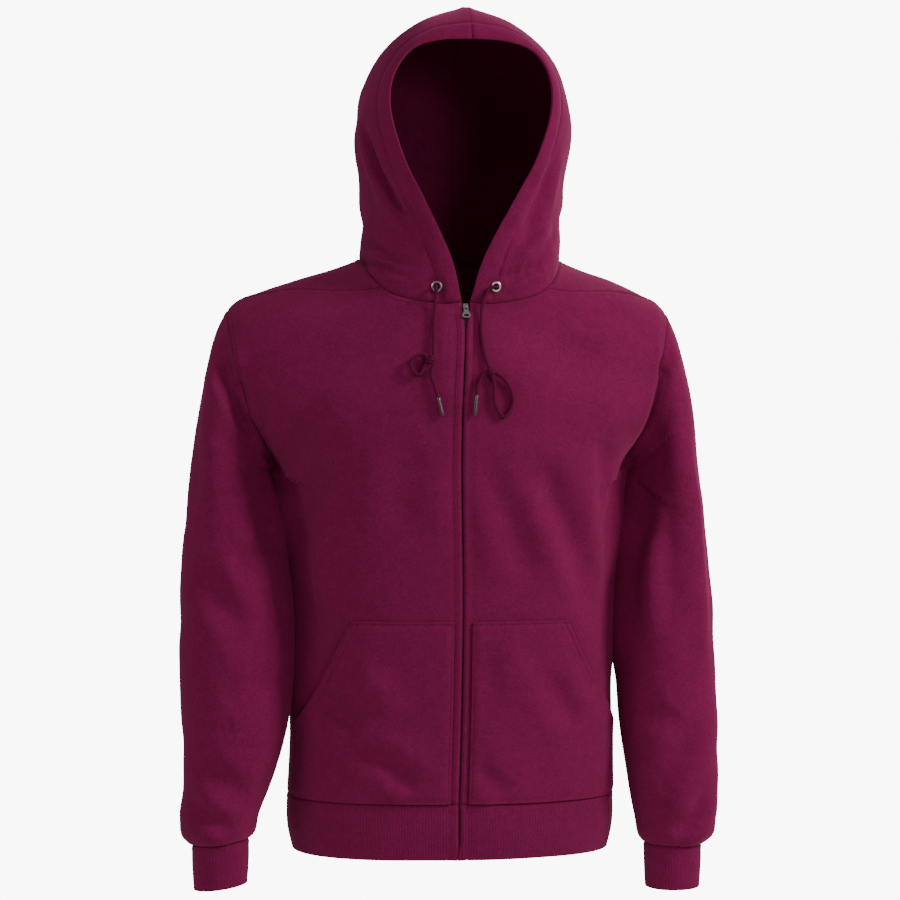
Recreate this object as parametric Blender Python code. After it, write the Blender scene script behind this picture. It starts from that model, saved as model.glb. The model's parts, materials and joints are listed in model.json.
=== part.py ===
"""Zip up hoodie in its worn shape, with nobody in it.

Metres, +Z up. The front faces -Y, so +X is the wearer's left. The origin is the
middle of the neck base, where the wearer's shoulders carry the garment.

Every cloth piece is a wall of even thickness: a grid of points on the garment's
outside, and the same grid moved in along its normals. Points that two pieces share
at a seam take one common normal, so the walls meet in a mitre, 0.3 mm apart.
"""

import math

import bmesh
import bpy
import numpy as np
from mathutils import Vector

MM = 0.001

# Cloth
FLEECE = 2.0 * MM
RIB = 3.0 * MM
HOOD_CLOTH = 3.0 * MM
SEAM_GAP = 0.3 * MM

# Heights
WAIST_SEAM_Z = -0.632
WAISTBAND_HEIGHT = 0.065
CUFF_LENGTH = 0.052

# Trunk. A place on it is its distance x from the middle and its girth g, in metres:
# g climbs from the waist seam at WAIST_G to 0, where the chest starts to round over,
# reaches the shoulder ridge at RIDGE_G, and goes on down the back.
WAIST_G = -0.5
ROUND_UP = 0.10
RIDGE_G = ROUND_UP * math.pi / 2
RIDGE_Y = 0.005
SQUARENESS = 2.4
UNDERARM_G = -0.114

# Neck seam
NECK_HALF = 0.118
NECK_FRONT_G = -0.005
NECK_BACK_G = 2 * RIDGE_G - 0.064
NECK_EASE = 0.8

# Shoulder seam: it leaves the neck seam in front of the ridge and meets the armhole on it.
SHOULDER_TURN = math.radians(53.6)
SHOULDER_END_G = 0.145

# Front opening
EDGE_HALF = 0.7 * MM
EDGE_HALF_AT_TOP = 4.5 * MM
PARTED_LENGTH = 0.032

# Grid counts: rows up the trunk, columns across each half of it
SIDE_ROWS = 8
ARM_ROWS = 8
FRONT_NECK_ROWS = 5
ZIP_ROWS = SIDE_ROWS + ARM_ROWS - FRONT_NECK_ROWS
BACK_NECK_ROWS = 7
HALF_COLUMNS = 9
HOOD_ROWS = 12
SLEEVE_ROWS = 17
BULGE_RINGS = 5
BAND_ROWS = 3
BAND_SHRINK = (1.0, 1.004, 0.998, 0.975)

# Pockets
POCKET_TOP_Z = -0.422
POCKET_SLANT_Z = -0.544
POCKET_INNER_X = 0.0105
POCKET_TOP_X = 0.126
POCKET_REACH = 0.965
POCKET_AIR = 1.9 * MM
POCKET_ROWS = 9
POCKET_COLUMNS = 8

# Zip
TAPE_INNER_X = 3.6 * MM
TAPE_OUTER_X = 14.0 * MM
TAPE = 0.8 * MM
CHAIN_HALF = 3.2 * MM
CHAIN = 1.8 * MM
ZIP_AIR = 0.9 * MM
ZIP_IN_BAND = 0.995
TAPE_TOP_Z = -0.0640
CHAIN_TOP_Z = -0.0680
SLIDER_UP = 5.4 * MM
ZIP_SLOPE = math.radians(23)
SLIDER_LENGTH = 9.0 * MM
SLIDER_HALF = 3.2 * MM
SLIDER_THICK = 3.0 * MM
CROWN_WIDTH = 2.2 * MM
CROWN_STRAP = 1.0 * MM
CROWN_HALF = 1.8 * MM
HINGE_Z = -0.0600
HINGE_PROUD = 1.5 * MM
PULL_THICK = 1.1 * MM
PULL_LENGTH = 15.0 * MM
PULL_ROUND = 3.4 * MM
PULL_HALF = 5.2 * MM
PULL_NECK = 2.5 * MM
PULL_EYE = 5.5 * MM

# Drawcord
CORD = 4.2 * MM
CORD_STEP = 8.0 * MM
AGLET = 4.8 * MM
KNOT_HALF = np.array([5.2, 4.4, 6.2]) * MM
FLAT_Z = -0.062
EYELET_OUTER = 6.2 * MM
EYELET_INNER = 3.4 * MM
EYELET_BARREL = 4.0 * MM
EYELET_LIP = 1.1 * MM
EYELET_ALONG = 0.28
EYELET_UP = 0.60

MAROON = (0.150, 0.014, 0.055)
DARK_MAROON = (0.095, 0.008, 0.035)
METAL = (0.62, 0.60, 0.58)
CLEAR_TIP = (0.55, 0.50, 0.52)


class Table:
    """Rows of sizes under named columns. The first column is what they are read by."""

    def __init__(self, names, *rows):
        self.names = names.split()
        self.columns = dict(zip(self.names, np.array(rows, float).T))

    def read(self, where, name):
        """One column at these places, on a smooth curve through its rows."""
        return smooth(self.columns[self.names[0]], self.columns[name], where)


def smooth(knots, values, where):
    """A cubic curve through values at knots, read at each place in where."""
    knots = np.asarray(knots, float)
    values = np.asarray(values, float)
    where = np.clip(np.asarray(where, float), knots[0], knots[-1])
    slopes = np.gradient(values, knots, axis=0)
    span = np.clip(np.searchsorted(knots, where, side="right") - 1, 0, len(knots) - 2)
    width = knots[span + 1] - knots[span]
    t = (where - knots[span]) / width
    extra = (1,) * (values.ndim - 1)
    t = t.reshape(t.shape + extra)
    width = width.reshape(width.shape + extra)
    return (
        values[span] * (1 - t) ** 2 * (1 + 2 * t)
        + values[span + 1] * t**2 * (3 - 2 * t)
        + slopes[span] * width * t * (1 - t) ** 2
        - slopes[span + 1] * width * t**2 * (1 - t)
    )


TRUNK = Table(
    "g     half_width front  back",
    (-0.500, 0.1940, 0.116, 0.110),
    (-0.400, 0.1915, 0.124, 0.108),
    (-0.280, 0.1880, 0.131, 0.106),
    (-0.180, 0.1970, 0.142, 0.112),
    (-0.114, 0.2060, 0.146, 0.118),
    (-0.060, 0.2400, 0.139, 0.121),
    (0.000, 0.2720, 0.113, 0.120),
    (0.080, 0.2880, 0.108, 0.117),
    (0.158, 0.3000, 0.105, 0.114),
)
RIDGE = Table(
    "x     z",
    (0.000, 0.052),
    (0.060, 0.036),
    (0.118, 0.003),
    (0.145, -0.008),
    (0.190, -0.0220),
    (0.230, -0.0375),
    (0.252, -0.0480),
    (0.263, -0.0590),
    (0.300, -0.1000),
)
ARMHOLE = Table(
    "g     x",
    (-0.114, 0.2060),
    (-0.080, 0.2215),
    (-0.060, 0.2310),
    (-0.030, 0.2405),
    (0.000, 0.2475),
    (0.050, 0.2560),
    (0.100, 0.2615),
    (0.158, 0.2630),
)
# The drawcord's route, from the eyelet to the aglet. Each row is x, z and how far the
# cord's middle stands in front of the cloth. The bow's loop leaves the knot and comes back.
ROUTES = {
    "left": {
        "cord": [
            (0.0400, -0.0385, 0.0052),
            (0.0325, -0.0520, 0.0050),
            (0.0284, -0.0800, 0.0042),
            (0.0297, -0.1087, 0.0040),
            (0.0345, -0.1290, 0.0046),
        ],
        "knot": [(0.0373, -0.1360, 0.0058)],
        "loop": [
            (0.0405, -0.1464, 0.0050),
            (0.0429, -0.1749, 0.0040),
            (0.0520, -0.1874, 0.0040),
            (0.0618, -0.1749, 0.0040),
            (0.0500, -0.1420, 0.0050),
        ],
        "tail": [
            (0.0290, -0.1395, 0.0048),
            (0.0225, -0.1520, 0.0040),
            (0.0212, -0.1613, 0.0040),
        ],
        "aglet": [(0.0211, -0.1619, 0.0040), (0.0188, -0.1863, 0.0040)],
    },
    "right": {
        "cord": [
            (-0.0232, -0.0500, 0.0050),
            (-0.0250, -0.0700, 0.0044),
            (-0.0262, -0.0915, 0.0040),
            (-0.0272, -0.1120, 0.0044),
        ],
        "knot": [(-0.0306, -0.1226, 0.0058)],
        "loop": [
            (-0.0375, -0.1170, 0.0054),
            (-0.0480, -0.1190, 0.0060),
            (-0.0536, -0.1294, 0.0060),
            (-0.0445, -0.1400, 0.0056),
            (-0.0370, -0.1290, 0.0054),
        ],
        "tail": [
            (-0.0305, -0.1380, 0.0044),
            (-0.0270, -0.1520, 0.0040),
            (-0.0234, -0.1640, 0.0040),
        ],
        "aglet": [(-0.0232, -0.1648, 0.0040), (-0.0176, -0.1866, 0.0040)],
    },
}

# How far the middle of the garment stands to the wearer's left of the shoulders' middle
LEAN = Table(
    "z     shift",
    (-0.70, 0.0030),
    (-0.40, 0.0075),
    (-0.20, 0.0050),
    (-0.05, 0.0120),
    (0.10, 0.0160),
    (0.31, 0.0180),
)
# Hood rows climb from the neck seam to the centre seam over the crown. Each leaves the
# face edge, passes its widest place at the side, and ends on the centre seam behind.
# edge_share is the edge's x over side_x, and bow rounds the row's rise over the crown.
HOOD = Table(
    "row  side_x side_y side_z edge_share edge_y edge_z back_y back_z bow",
    (0.0, 0.1180, 0.005, 0.003, 0.035, -0.108, -0.0530, 0.099, 0.012, 1.0),
    (1.0, 0.1180, 0.002, 0.034, 0.150, -0.113, -0.0050, 0.101, 0.048, 1.0),
    (2.0, 0.1205, -0.003, 0.077, 0.380, -0.117, 0.0520, 0.110, 0.092, 1.0),
    (3.0, 0.1265, -0.008, 0.121, 0.590, -0.119, 0.1050, 0.121, 0.138, 1.0),
    (4.0, 0.1290, -0.010, 0.163, 0.720, -0.120, 0.1600, 0.125, 0.180, 1.1),
    (5.0, 0.1200, -0.012, 0.205, 0.760, -0.121, 0.2030, 0.118, 0.218, 1.3),
    (6.0, 0.0970, -0.014, 0.247, 0.740, -0.122, 0.2320, 0.104, 0.247, 1.6),
    (7.0, 0.0540, -0.016, 0.282, 0.720, -0.123, 0.2430, 0.087, 0.269, 1.8),
    (8.0, 0.0000, -0.018, 0.300, 0.720, -0.124, 0.2450, 0.069, 0.282, 1.9),
)
# Sleeve rings below the armhole: the outer and inner ends of each, and its half depth
SLEEVE_COLUMNS = "ring outer_x outer_z inner_x inner_z y depth"
LEFT_SLEEVE = Table(
    SLEEVE_COLUMNS,
    (1, 0.2735, -0.080, 0.2225, -0.2490, 0.000, 0.058),
    (2, 0.2870, -0.128, 0.2260, -0.2600, -0.003, 0.060),
    (3, 0.2975, -0.190, 0.2240, -0.2850, -0.008, 0.061),
    (4, 0.3040, -0.250, 0.2180, -0.3150, -0.012, 0.061),
    (5, 0.3110, -0.330, 0.2080, -0.3620, -0.017, 0.060),
    (6, 0.3160, -0.410, 0.2010, -0.4250, -0.023, 0.059),
    (7, 0.3185, -0.490, 0.2005, -0.4950, -0.029, 0.058),
    (8, 0.3200, -0.560, 0.2045, -0.5620, -0.035, 0.055),
    (9, 0.3195, -0.620, 0.2140, -0.6200, -0.040, 0.050),
    (10, 0.3165, -0.660, 0.2210, -0.6600, -0.043, 0.045),
    (11, 0.3090, -0.684, 0.2250, -0.6840, -0.045, 0.040),
    (12, 0.2975, -0.690, 0.2300, -0.6900, -0.045, 0.035),
)
RIGHT_SLEEVE = Table(
    SLEEVE_COLUMNS,
    (1, 0.2735, -0.080, 0.2150, -0.2470, 0.000, 0.058),
    (2, 0.2870, -0.128, 0.2215, -0.2580, -0.003, 0.060),
    (3, 0.2985, -0.190, 0.2150, -0.2850, -0.008, 0.062),
    (4, 0.3065, -0.250, 0.2060, -0.3150, -0.012, 0.063),
    (5, 0.3140, -0.330, 0.1960, -0.3550, -0.018, 0.063),
    (6, 0.3180, -0.410, 0.1900, -0.4200, -0.024, 0.062),
    (7, 0.3180, -0.490, 0.1890, -0.4920, -0.030, 0.060),
    (8, 0.3150, -0.560, 0.1950, -0.5600, -0.036, 0.057),
    (9, 0.3130, -0.620, 0.2120, -0.6160, -0.041, 0.051),
    (10, 0.3165, -0.655, 0.2250, -0.6500, -0.044, 0.045),
    (11, 0.3120, -0.678, 0.2310, -0.6720, -0.046, 0.039),
    (12, 0.3030, -0.685, 0.2370, -0.6770, -0.046, 0.033),
)


# ---------------------------------------------------------------- the garment's form


def smoothstep(low, high, value):
    """0 below low, 1 above high, and an S between them."""
    t = np.clip((value - low) / (high - low), 0, 1)
    return t * t * (3 - 2 * t)


def leaned(points):
    """Points moved to the wearer's left by LEAN, less and less towards the shoulders."""
    points = np.array(points, float)
    fade = 1 - smoothstep(0.16, 0.27, np.abs(points[..., 0]))
    points[..., 0] += LEAN.read(points[..., 2], "shift") * fade
    return points


def trunk(x, g, side):
    """Points of the trunk at distances x from the middle, on side +1 or -1.

    A level section is a superellipse. Above g = 0 the section's depth shrinks as the
    cosine of the turn over the shoulder, and its height grows as the sine.
    """
    x, g = np.broadcast_arrays(np.asarray(x, float), np.asarray(g, float))
    behind = g > RIDGE_G
    level = np.where(behind, 2 * RIDGE_G - g, g)
    turn = np.clip(level, 0, RIDGE_G) / ROUND_UP
    across = np.clip(x / TRUNK.read(level, "half_width"), 0, 1)
    across = (1 - across**SQUARENESS) ** (1 / SQUARENESS)
    depth = np.where(behind, TRUNK.read(level, "back"), -TRUNK.read(level, "front"))
    start = RIDGE.read(x, "z") - ROUND_UP
    below = np.minimum(level, 0) * (start - WAIST_SEAM_Z) / -WAIST_G
    z = start + below + ROUND_UP * np.sin(turn)
    y = RIDGE_Y + depth * across * np.cos(turn)
    return leaned(np.stack([side * x, y, z], -1))


def girth_at(x, z):
    """The g of a place below the chest's rounding, from its x and z."""
    start = RIDGE.read(x, "z") - ROUND_UP
    return (z - start) * -WAIST_G / (start - WAIST_SEAM_Z)


def neck_seam(turn):
    """x and g of the neck seam. turn runs from 0 in front to pi behind."""
    half = NECK_HALF - EDGE_HALF_AT_TOP * (turn < math.pi / 2)
    x = EDGE_HALF_AT_TOP * (turn < math.pi / 2) + half * np.sin(turn)
    reach = np.where(turn < math.pi / 2, RIDGE_G - NECK_FRONT_G, RIDGE_G - NECK_BACK_G)
    return x, RIDGE_G - reach * np.abs(np.cos(turn)) ** NECK_EASE


def armhole(g):
    """x and g of the armhole seam."""
    level = np.where(g > RIDGE_G, 2 * RIDGE_G - g, g)
    return ARMHOLE.read(level, "x"), g


def side_seam(g):
    """x and g of the side seam."""
    level = np.where(g > RIDGE_G, 2 * RIDGE_G - g, g)
    return TRUNK.read(level, "half_width"), g


def front_edge(g):
    """x and g of the front opening, whose edges part just below the neck."""
    share = smoothstep(NECK_FRONT_G - PARTED_LENGTH, NECK_FRONT_G, g)
    return EDGE_HALF + (EDGE_HALF_AT_TOP - EDGE_HALF) * share, g


def back_middle(g):
    """x and g of the middle of the back, where there is no seam."""
    return np.zeros_like(g), g


def shares_by_length(points):
    """How far along a line of points each one is, from 0 to 1."""
    steps = np.linalg.norm(np.diff(points, axis=0), axis=1)
    length = np.concatenate([[0], np.cumsum(steps)])
    return length / length[-1]


def evenly(seam, start, end, count):
    """x and g at count + 1 places, spaced evenly by length along a trunk seam."""
    fine = np.linspace(start, end, 241)
    along = shares_by_length(trunk(*seam(fine), 1))
    return seam(np.interp(np.linspace(0, 1, count + 1), along, fine))


def joined(first, second):
    """Two runs of (x, g) as one, with the place they share kept once."""
    return [np.concatenate([a, b[1:]]) for a, b in zip(first, second)]


def half_of_trunk(inner, outer, side):
    """A grid between an inner run of (x, g), at the middle, and an outer one.

    Columns crowd together towards the side seam, where the section turns, and less so
    where the row ends at the armhole.
    """
    rows = len(inner[0])
    sweep = np.full(rows, math.pi / 2)
    sweep[SIDE_ROWS:] = np.linspace(math.pi / 2, math.radians(35), ARM_ROWS + 1)
    s = np.linspace(0, 1, HALF_COLUMNS + 1)
    share = np.sin(s * sweep[:, None]) / np.sin(sweep)[:, None]
    x = inner[0][:, None] + (outer[0] - inner[0])[:, None] * share
    g = inner[1][:, None] + (outer[1] - inner[1])[:, None] * s
    return trunk(x, g, side)


def front_girths():
    """The g of each front row that ends at the zip."""
    low = np.linspace(WAIST_G, NECK_FRONT_G - PARTED_LENGTH, ZIP_ROWS - 1)
    return np.append(low, [NECK_FRONT_G - PARTED_LENGTH / 2, NECK_FRONT_G])


def front_half(side):
    """The front panel's grid: rows up, columns from the zip to the side."""
    neck = evenly(neck_seam, 0, SHOULDER_TURN, FRONT_NECK_ROWS)
    inner = joined(front_edge(front_girths()), neck)
    seam = side_seam(np.linspace(WAIST_G, UNDERARM_G, SIDE_ROWS + 1))
    outer = joined(seam, evenly(armhole, UNDERARM_G, SHOULDER_END_G, ARM_ROWS))
    return half_of_trunk(inner, outer, side)


def back_half(side):
    """One half of the back's grid: rows up, columns from the middle to the side."""
    hem = 2 * RIDGE_G - WAIST_G
    rows = SIDE_ROWS + ARM_ROWS - BACK_NECK_ROWS
    middle = back_middle(np.linspace(hem, NECK_BACK_G, rows + 1))
    neck = evenly(neck_seam, math.pi, SHOULDER_TURN, BACK_NECK_ROWS)
    inner = joined(middle, neck)
    underarm = 2 * RIDGE_G - UNDERARM_G
    seam = side_seam(np.linspace(hem, underarm, SIDE_ROWS + 1))
    outer = joined(seam, evenly(armhole, underarm, SHOULDER_END_G, ARM_ROWS))
    return half_of_trunk(inner, outer, side)


def hood_row(row, count):
    """Points along one hood row on side +1, spaced closely from the edge to the back.

    x is side_x times the sine of a turn that runs from the face edge to pi. y follows
    the cosine, and z too, bent by bow so that the crown is round.
    """
    size = {name: HOOD.read(row, name) for name in HOOD.names[1:]}
    first = math.asin(float(size["edge_share"]))
    turn = np.linspace(first, math.pi, count)
    before = np.clip(np.cos(turn) / math.cos(first), 0, 1)
    after = np.clip(-np.cos(turn), 0, 1)
    bow = float(size["bow"])
    rise_before = 1 - (1 - before**bow) ** (1 / bow)
    rise_after = 1 - (1 - after**bow) ** (1 / bow)
    y = size["side_y"] + (size["edge_y"] - size["side_y"]) * before
    y = y + (size["back_y"] - size["side_y"]) * after
    z = size["side_z"] + (size["edge_z"] - size["side_z"]) * rise_before
    z = z + (size["back_z"] - size["side_z"]) * rise_after
    return np.stack([size["side_x"] * np.sin(turn), y, z], -1)


def hood_half(neck, flat, side):
    """One half of the hood: rows up from these neck seam points, columns face to back.
    flat is the same neck seam on side +1, before it leans."""
    along = shares_by_length(flat)
    grid = []
    for row in np.linspace(0, 8, HOOD_ROWS + 1):
        line = hood_row(row, 241)
        share = shares_by_length(line)
        grid.append(np.stack([np.interp(along, share, line[:, i]) for i in range(3)], -1))
    grid = np.array(grid)
    fit = 1 - smoothstep(0, 1, np.linspace(0, 8, HOOD_ROWS + 1) / 2.5)
    grid = grid + (flat - grid[0]) * fit[:, None, None]
    grid[..., 0] *= side
    grid = leaned(grid)
    grid[0] = neck
    return grid


def ring(size, number, turn, side):
    """Points round one sleeve ring. turn 0 is the inner end, and pi / 2 the front."""
    outer = [size.read(number, "outer_x"), size.read(number, "outer_z")]
    inner = [size.read(number, "inner_x"), size.read(number, "inner_z")]
    middle, half = np.add(outer, inner) / 2, np.subtract(inner, outer) / 2
    x = middle[0] + half[0] * np.cos(turn)
    z = middle[1] + half[1] * np.cos(turn)
    y = size.read(number, "y") - size.read(number, "depth") * np.sin(turn)
    return np.stack([side * x, y, z], -1)


def sleeve_grid(loop, size, side):
    """The sleeve from the armhole's points down through its rings: rows down, columns
    round."""
    turn = 2 * math.pi * shares_by_length(np.vstack([loop, loop[:1]]))[:-1]
    middle = (loop[0] + loop[len(loop) // 2]) / 2
    depth = np.ptp(loop[:, 1]) / 2
    plain = middle + np.cos(turn)[:, None] * (loop[0] - middle)
    plain[:, 1] -= depth * np.sin(turn)
    bulge = loop - plain
    rings = [loop]
    for number in size.columns["ring"]:
        kept = max(0.0, 1 - number / BULGE_RINGS)
        rings.append(ring(size, number, turn, side) + bulge * kept)
    rings = np.array(rings)
    steps = np.linalg.norm(np.diff(rings, axis=0), axis=2).mean(axis=1)
    at = np.concatenate([[0], np.cumsum(steps)])
    even = np.linspace(0, at[-2], SLEEVE_ROWS - 1)
    return smooth(at, rings, np.append(even, [at[-2] / 2 + at[-1] / 2, at[-1]]))


# ---------------------------------------------------------------- walls


def unit(vectors):
    """Vectors of length one."""
    return vectors / np.maximum(np.linalg.norm(vectors, axis=-1, keepdims=True), 1e-12)


def turned_out(grid, closed, centre):
    """Each point's normal, from its neighbours along the rows and columns, pointing away
    from centre."""
    if closed:
        wide = np.concatenate([grid[:, -1:], grid, grid[:, :1]], axis=1)
        across = np.gradient(wide, axis=1)[:, 1:-1]
    else:
        across = np.gradient(grid, axis=1)
    normals = unit(np.cross(across, np.gradient(grid, axis=0)))
    out = np.sum(normals * (grid - centre), axis=-1).sum()
    return normals if out > 0 else -normals


class Cloth:
    """One cut piece: its grids, with a normal at each point."""

    def __init__(self, name, thickness, colour, grids, centres, closed=False):
        self.name = name
        self.thickness = thickness
        self.colour = colour
        self.closed = closed
        self.grids = [np.array(grid) for grid in grids]
        self.normals = [turned_out(g, closed, c) for g, c in zip(self.grids, centres)]
        apart = np.linalg.norm(self.grids[0][:, 0] - self.grids[-1][:, 0], axis=-1)
        self.middle = (len(self.grids) > 1) & (apart < 0.01 * MM)

    def build(self):
        """Makes the wall as an object."""
        outer = [self.trimmed(grid) for grid in self.grids]
        moved = zip(self.grids, self.normals)
        inner = [self.trimmed(g - n * self.thickness) for g, n in moved]
        verts, faces = wall(outer, inner, self.closed)
        return solid(self.name, verts, faces, self.colour, 0.9, 0.0)

    def trimmed(self, grid):
        """The grid with its outer lines drawn in by half a seam gap. Points in the middle
        of a piece made of two halves stay, so that the halves join."""
        out = grid.copy()
        out[0] += unit(grid[1] - grid[0]) * SEAM_GAP / 2
        out[-1] += unit(grid[-2] - grid[-1]) * SEAM_GAP / 2
        if not self.closed:
            out[:, -1] += unit(grid[:, -2] - grid[:, -1]) * SEAM_GAP / 2
            inward = unit(grid[:, 1] - grid[:, 0]) * SEAM_GAP / 2
            out[:, 0] += np.where(self.middle[:, None], 0, inward)
        return out


def share_seams(pieces):
    """Gives points that lie together, on any of the pieces, their mean normal."""
    points = np.vstack([g.reshape(-1, 3) for p in pieces for g in p.grids])
    normals = np.vstack([n.reshape(-1, 3) for p in pieces for n in p.normals])
    keys = np.round(points / (0.01 * MM)).astype(np.int64)
    _, group = np.unique(keys, axis=0, return_inverse=True)
    group = group.reshape(-1)
    mean = np.zeros((group.max() + 1, 3))
    np.add.at(mean, group, normals)
    mean = unit(mean)[group]
    start = 0
    for piece in pieces:
        for i, normal in enumerate(piece.normals):
            end = start + normal.size // 3
            piece.normals[i] = mean[start:end].reshape(normal.shape)
            start = end


def wall(outer, inner, closed):
    """Vertices and faces of the closed wall between outer and inner grids. Points that
    lie together are one vertex, and a rim closes every edge that one face only has."""
    faces = []
    start = 0
    for grid in outer:
        rows, columns = grid.shape[:2]
        index = start + np.arange(rows * columns).reshape(rows, columns)
        if closed:
            index = np.concatenate([index, index[:, :1]], axis=1)
        quads = [index[:-1, :-1], index[:-1, 1:], index[1:, 1:], index[1:, :-1]]
        faces.append(np.stack(quads, -1).reshape(-1, 4))
        start += rows * columns
    faces = np.vstack(faces)
    outer = np.vstack([grid.reshape(-1, 3) for grid in outer])
    inner = np.vstack([grid.reshape(-1, 3) for grid in inner])
    keys = np.round(outer / (0.01 * MM)).astype(np.int64)
    _, first, again = np.unique(keys, axis=0, return_index=True, return_inverse=True)
    faces = again.reshape(-1)[faces]
    outer, inner = outer[first], inner[first]
    edges = np.sort(np.stack([faces, np.roll(faces, -1, axis=1)], -1).reshape(-1, 2))
    edges, times = np.unique(edges, axis=0, return_counts=True)
    rim = edges[times == 1]
    count = len(outer)
    sides = np.stack([rim[:, 0], rim[:, 1], rim[:, 1] + count, rim[:, 0] + count], -1)
    return np.vstack([outer, inner]), np.vstack([faces, faces + count, sides])


# ---------------------------------------------------------------- objects


def material(name, colour, roughness, metallic):
    """A plain Principled material."""
    made = bpy.data.materials.new(name)
    made.use_nodes = True
    shader = made.node_tree.nodes["Principled BSDF"]
    shader.inputs["Base Color"].default_value = (*colour, 1)
    shader.inputs["Roughness"].default_value = roughness
    shader.inputs["Metallic"].default_value = metallic
    return made


def solid(name, verts, faces, colour, roughness, metallic):
    """An object with its faces turned out and its round parts smooth."""
    mesh = bpy.data.meshes.new(name)
    mesh.from_pydata([tuple(v) for v in verts], [], [tuple(int(i) for i in f) for f in faces])
    shape = bmesh.new()
    shape.from_mesh(mesh)
    bmesh.ops.recalc_face_normals(shape, faces=shape.faces)
    shape.to_mesh(mesh)
    shape.free()
    mesh.shade_smooth()
    mesh.set_sharp_from_angle(angle=math.radians(50))
    mesh.materials.append(material(name, colour, roughness, metallic))
    made = bpy.data.objects.new(name, mesh)
    bpy.context.collection.objects.link(made)
    return made


def neck_of(front, back):
    """The neck seam's points on one side, from the zip round to the middle behind."""
    first, last = SIDE_ROWS + ARM_ROWS - FRONT_NECK_ROWS, SIDE_ROWS + ARM_ROWS - BACK_NECK_ROWS
    return np.vstack([front[first:, 0], back[last:-1, 0][::-1]])


def garment():
    """Every cloth piece of the body, sleeves, hood and ribs."""
    chest = np.array([0.0, 0.0, -0.30])
    head = np.array([0.0, 0.0, 0.12])
    pieces = []
    fronts = {side: front_half(side) for side in (1, -1)}
    backs = {side: back_half(side) for side in (1, -1)}
    necks = {side: neck_of(fronts[side], backs[side]) for side in (1, -1)}
    flat = (necks[1] + necks[-1] * [-1, 1, 1]) / 2
    for side, hand, size in ((1, "left", LEFT_SLEEVE), (-1, "right", RIGHT_SLEEVE)):
        front, back = fronts[side], backs[side]
        pieces.append(Cloth("front_" + hand, FLEECE, MAROON, [front], [chest]))
        loop = np.vstack([front[SIDE_ROWS:, -1], back[SIDE_ROWS + 1 : -1, -1][::-1]])
        sleeve = sleeve_grid(loop, size, side)
        arm = sleeve.mean(axis=(0, 1))
        pieces.append(Cloth("sleeve_" + hand, FLEECE, MAROON, [sleeve], [arm], True))
        cuff = cuff_grid(sleeve[-1])
        pieces.append(Cloth("cuff_" + hand, RIB, MAROON, [cuff], [cuff.mean(axis=(0, 1))], True))
        hood = hood_half(necks[side], flat, side)
        pieces.append(Cloth("hood_" + hand, HOOD_CLOTH, MAROON, [hood], [head]))
    halves = [backs[1], backs[-1]]
    pieces.append(Cloth("back", FLEECE, MAROON, halves, [chest, chest]))
    seam = np.vstack(
        [fronts[1][0], backs[1][0, ::-1][1:], backs[-1][0, 1:], fronts[-1][0, ::-1][1:]]
    )
    band = band_grid(seam)
    pieces.append(Cloth("waistband", RIB, MAROON, [band], [chest]))
    return pieces


def cuff_grid(seam):
    """The cuff: rows down from the sleeve's end, drawn in a little below the seam."""
    drops = np.linspace(0, CUFF_LENGTH, BAND_ROWS + 1)
    middle = seam.mean(axis=0)
    rows = [middle + (seam - middle) * grow for grow in (1.0, 1.01, 0.99, 0.955)]
    return np.array([row - [0, 0, drop] for row, drop in zip(rows, drops)])


def band_grid(seam):
    """The waistband: rows down from the waist seam, drawn in at the bottom."""
    drops = np.linspace(0, WAISTBAND_HEIGHT, BAND_ROWS + 1)
    rows = [seam * [grow, grow, 1] - [0, 0, drop] for grow, drop in zip(BAND_SHRINK, drops)]
    rows = np.array(rows)
    rows[:, 0] = rows[0, 0] * [1, 1, 0] + rows[:, 0] * [0, 0, 1]
    rows[:, -1] = rows[0, -1] * [1, 1, 0] + rows[:, -1] * [0, 0, 1]
    return rows


# ---------------------------------------------------------------- pockets


def pocket_outer_x(z):
    """How far out the pocket reaches: to the side seam, less up the slanted mouth."""
    level = girth_at(TRUNK.columns["half_width"][1], z)
    side = TRUNK.read(level, "half_width") * POCKET_REACH
    up = np.clip((z - POCKET_SLANT_Z) / (POCKET_TOP_Z - POCKET_SLANT_Z), 0, 1)
    return side + (POCKET_TOP_X - side) * up


def pocket_grid(side):
    """A pocket's place on the front panel: rows up from the waist seam."""
    low = np.linspace(WAIST_SEAM_Z + SEAM_GAP, POCKET_SLANT_Z, 4)
    z = np.append(low, np.linspace(POCKET_SLANT_Z, POCKET_TOP_Z, POCKET_ROWS - 3)[1:])
    sweep = math.pi / 2 * POCKET_COLUMNS / HALF_COLUMNS
    share = np.sin(np.linspace(0, sweep, POCKET_COLUMNS + 1)) / math.sin(sweep)
    outer = pocket_outer_x(z)[:, None]
    x = POCKET_INNER_X + (outer - POCKET_INNER_X) * share
    return trunk(x, girth_at(x, z[:, None]), side)


def pocket(hand, side):
    """A patch pocket, which lies on the front panel with a little air behind it."""
    grid = pocket_grid(side)
    out = turned_out(grid, False, np.array([0.0, 0.0, -0.5]))
    outer = grid + out * (POCKET_AIR + FLEECE)
    verts, faces = wall([outer], [grid + out * POCKET_AIR], False)
    solid("pocket_" + hand, verts, faces, MAROON, 0.9, 0.0)


# ---------------------------------------------------------------- zip


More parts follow.
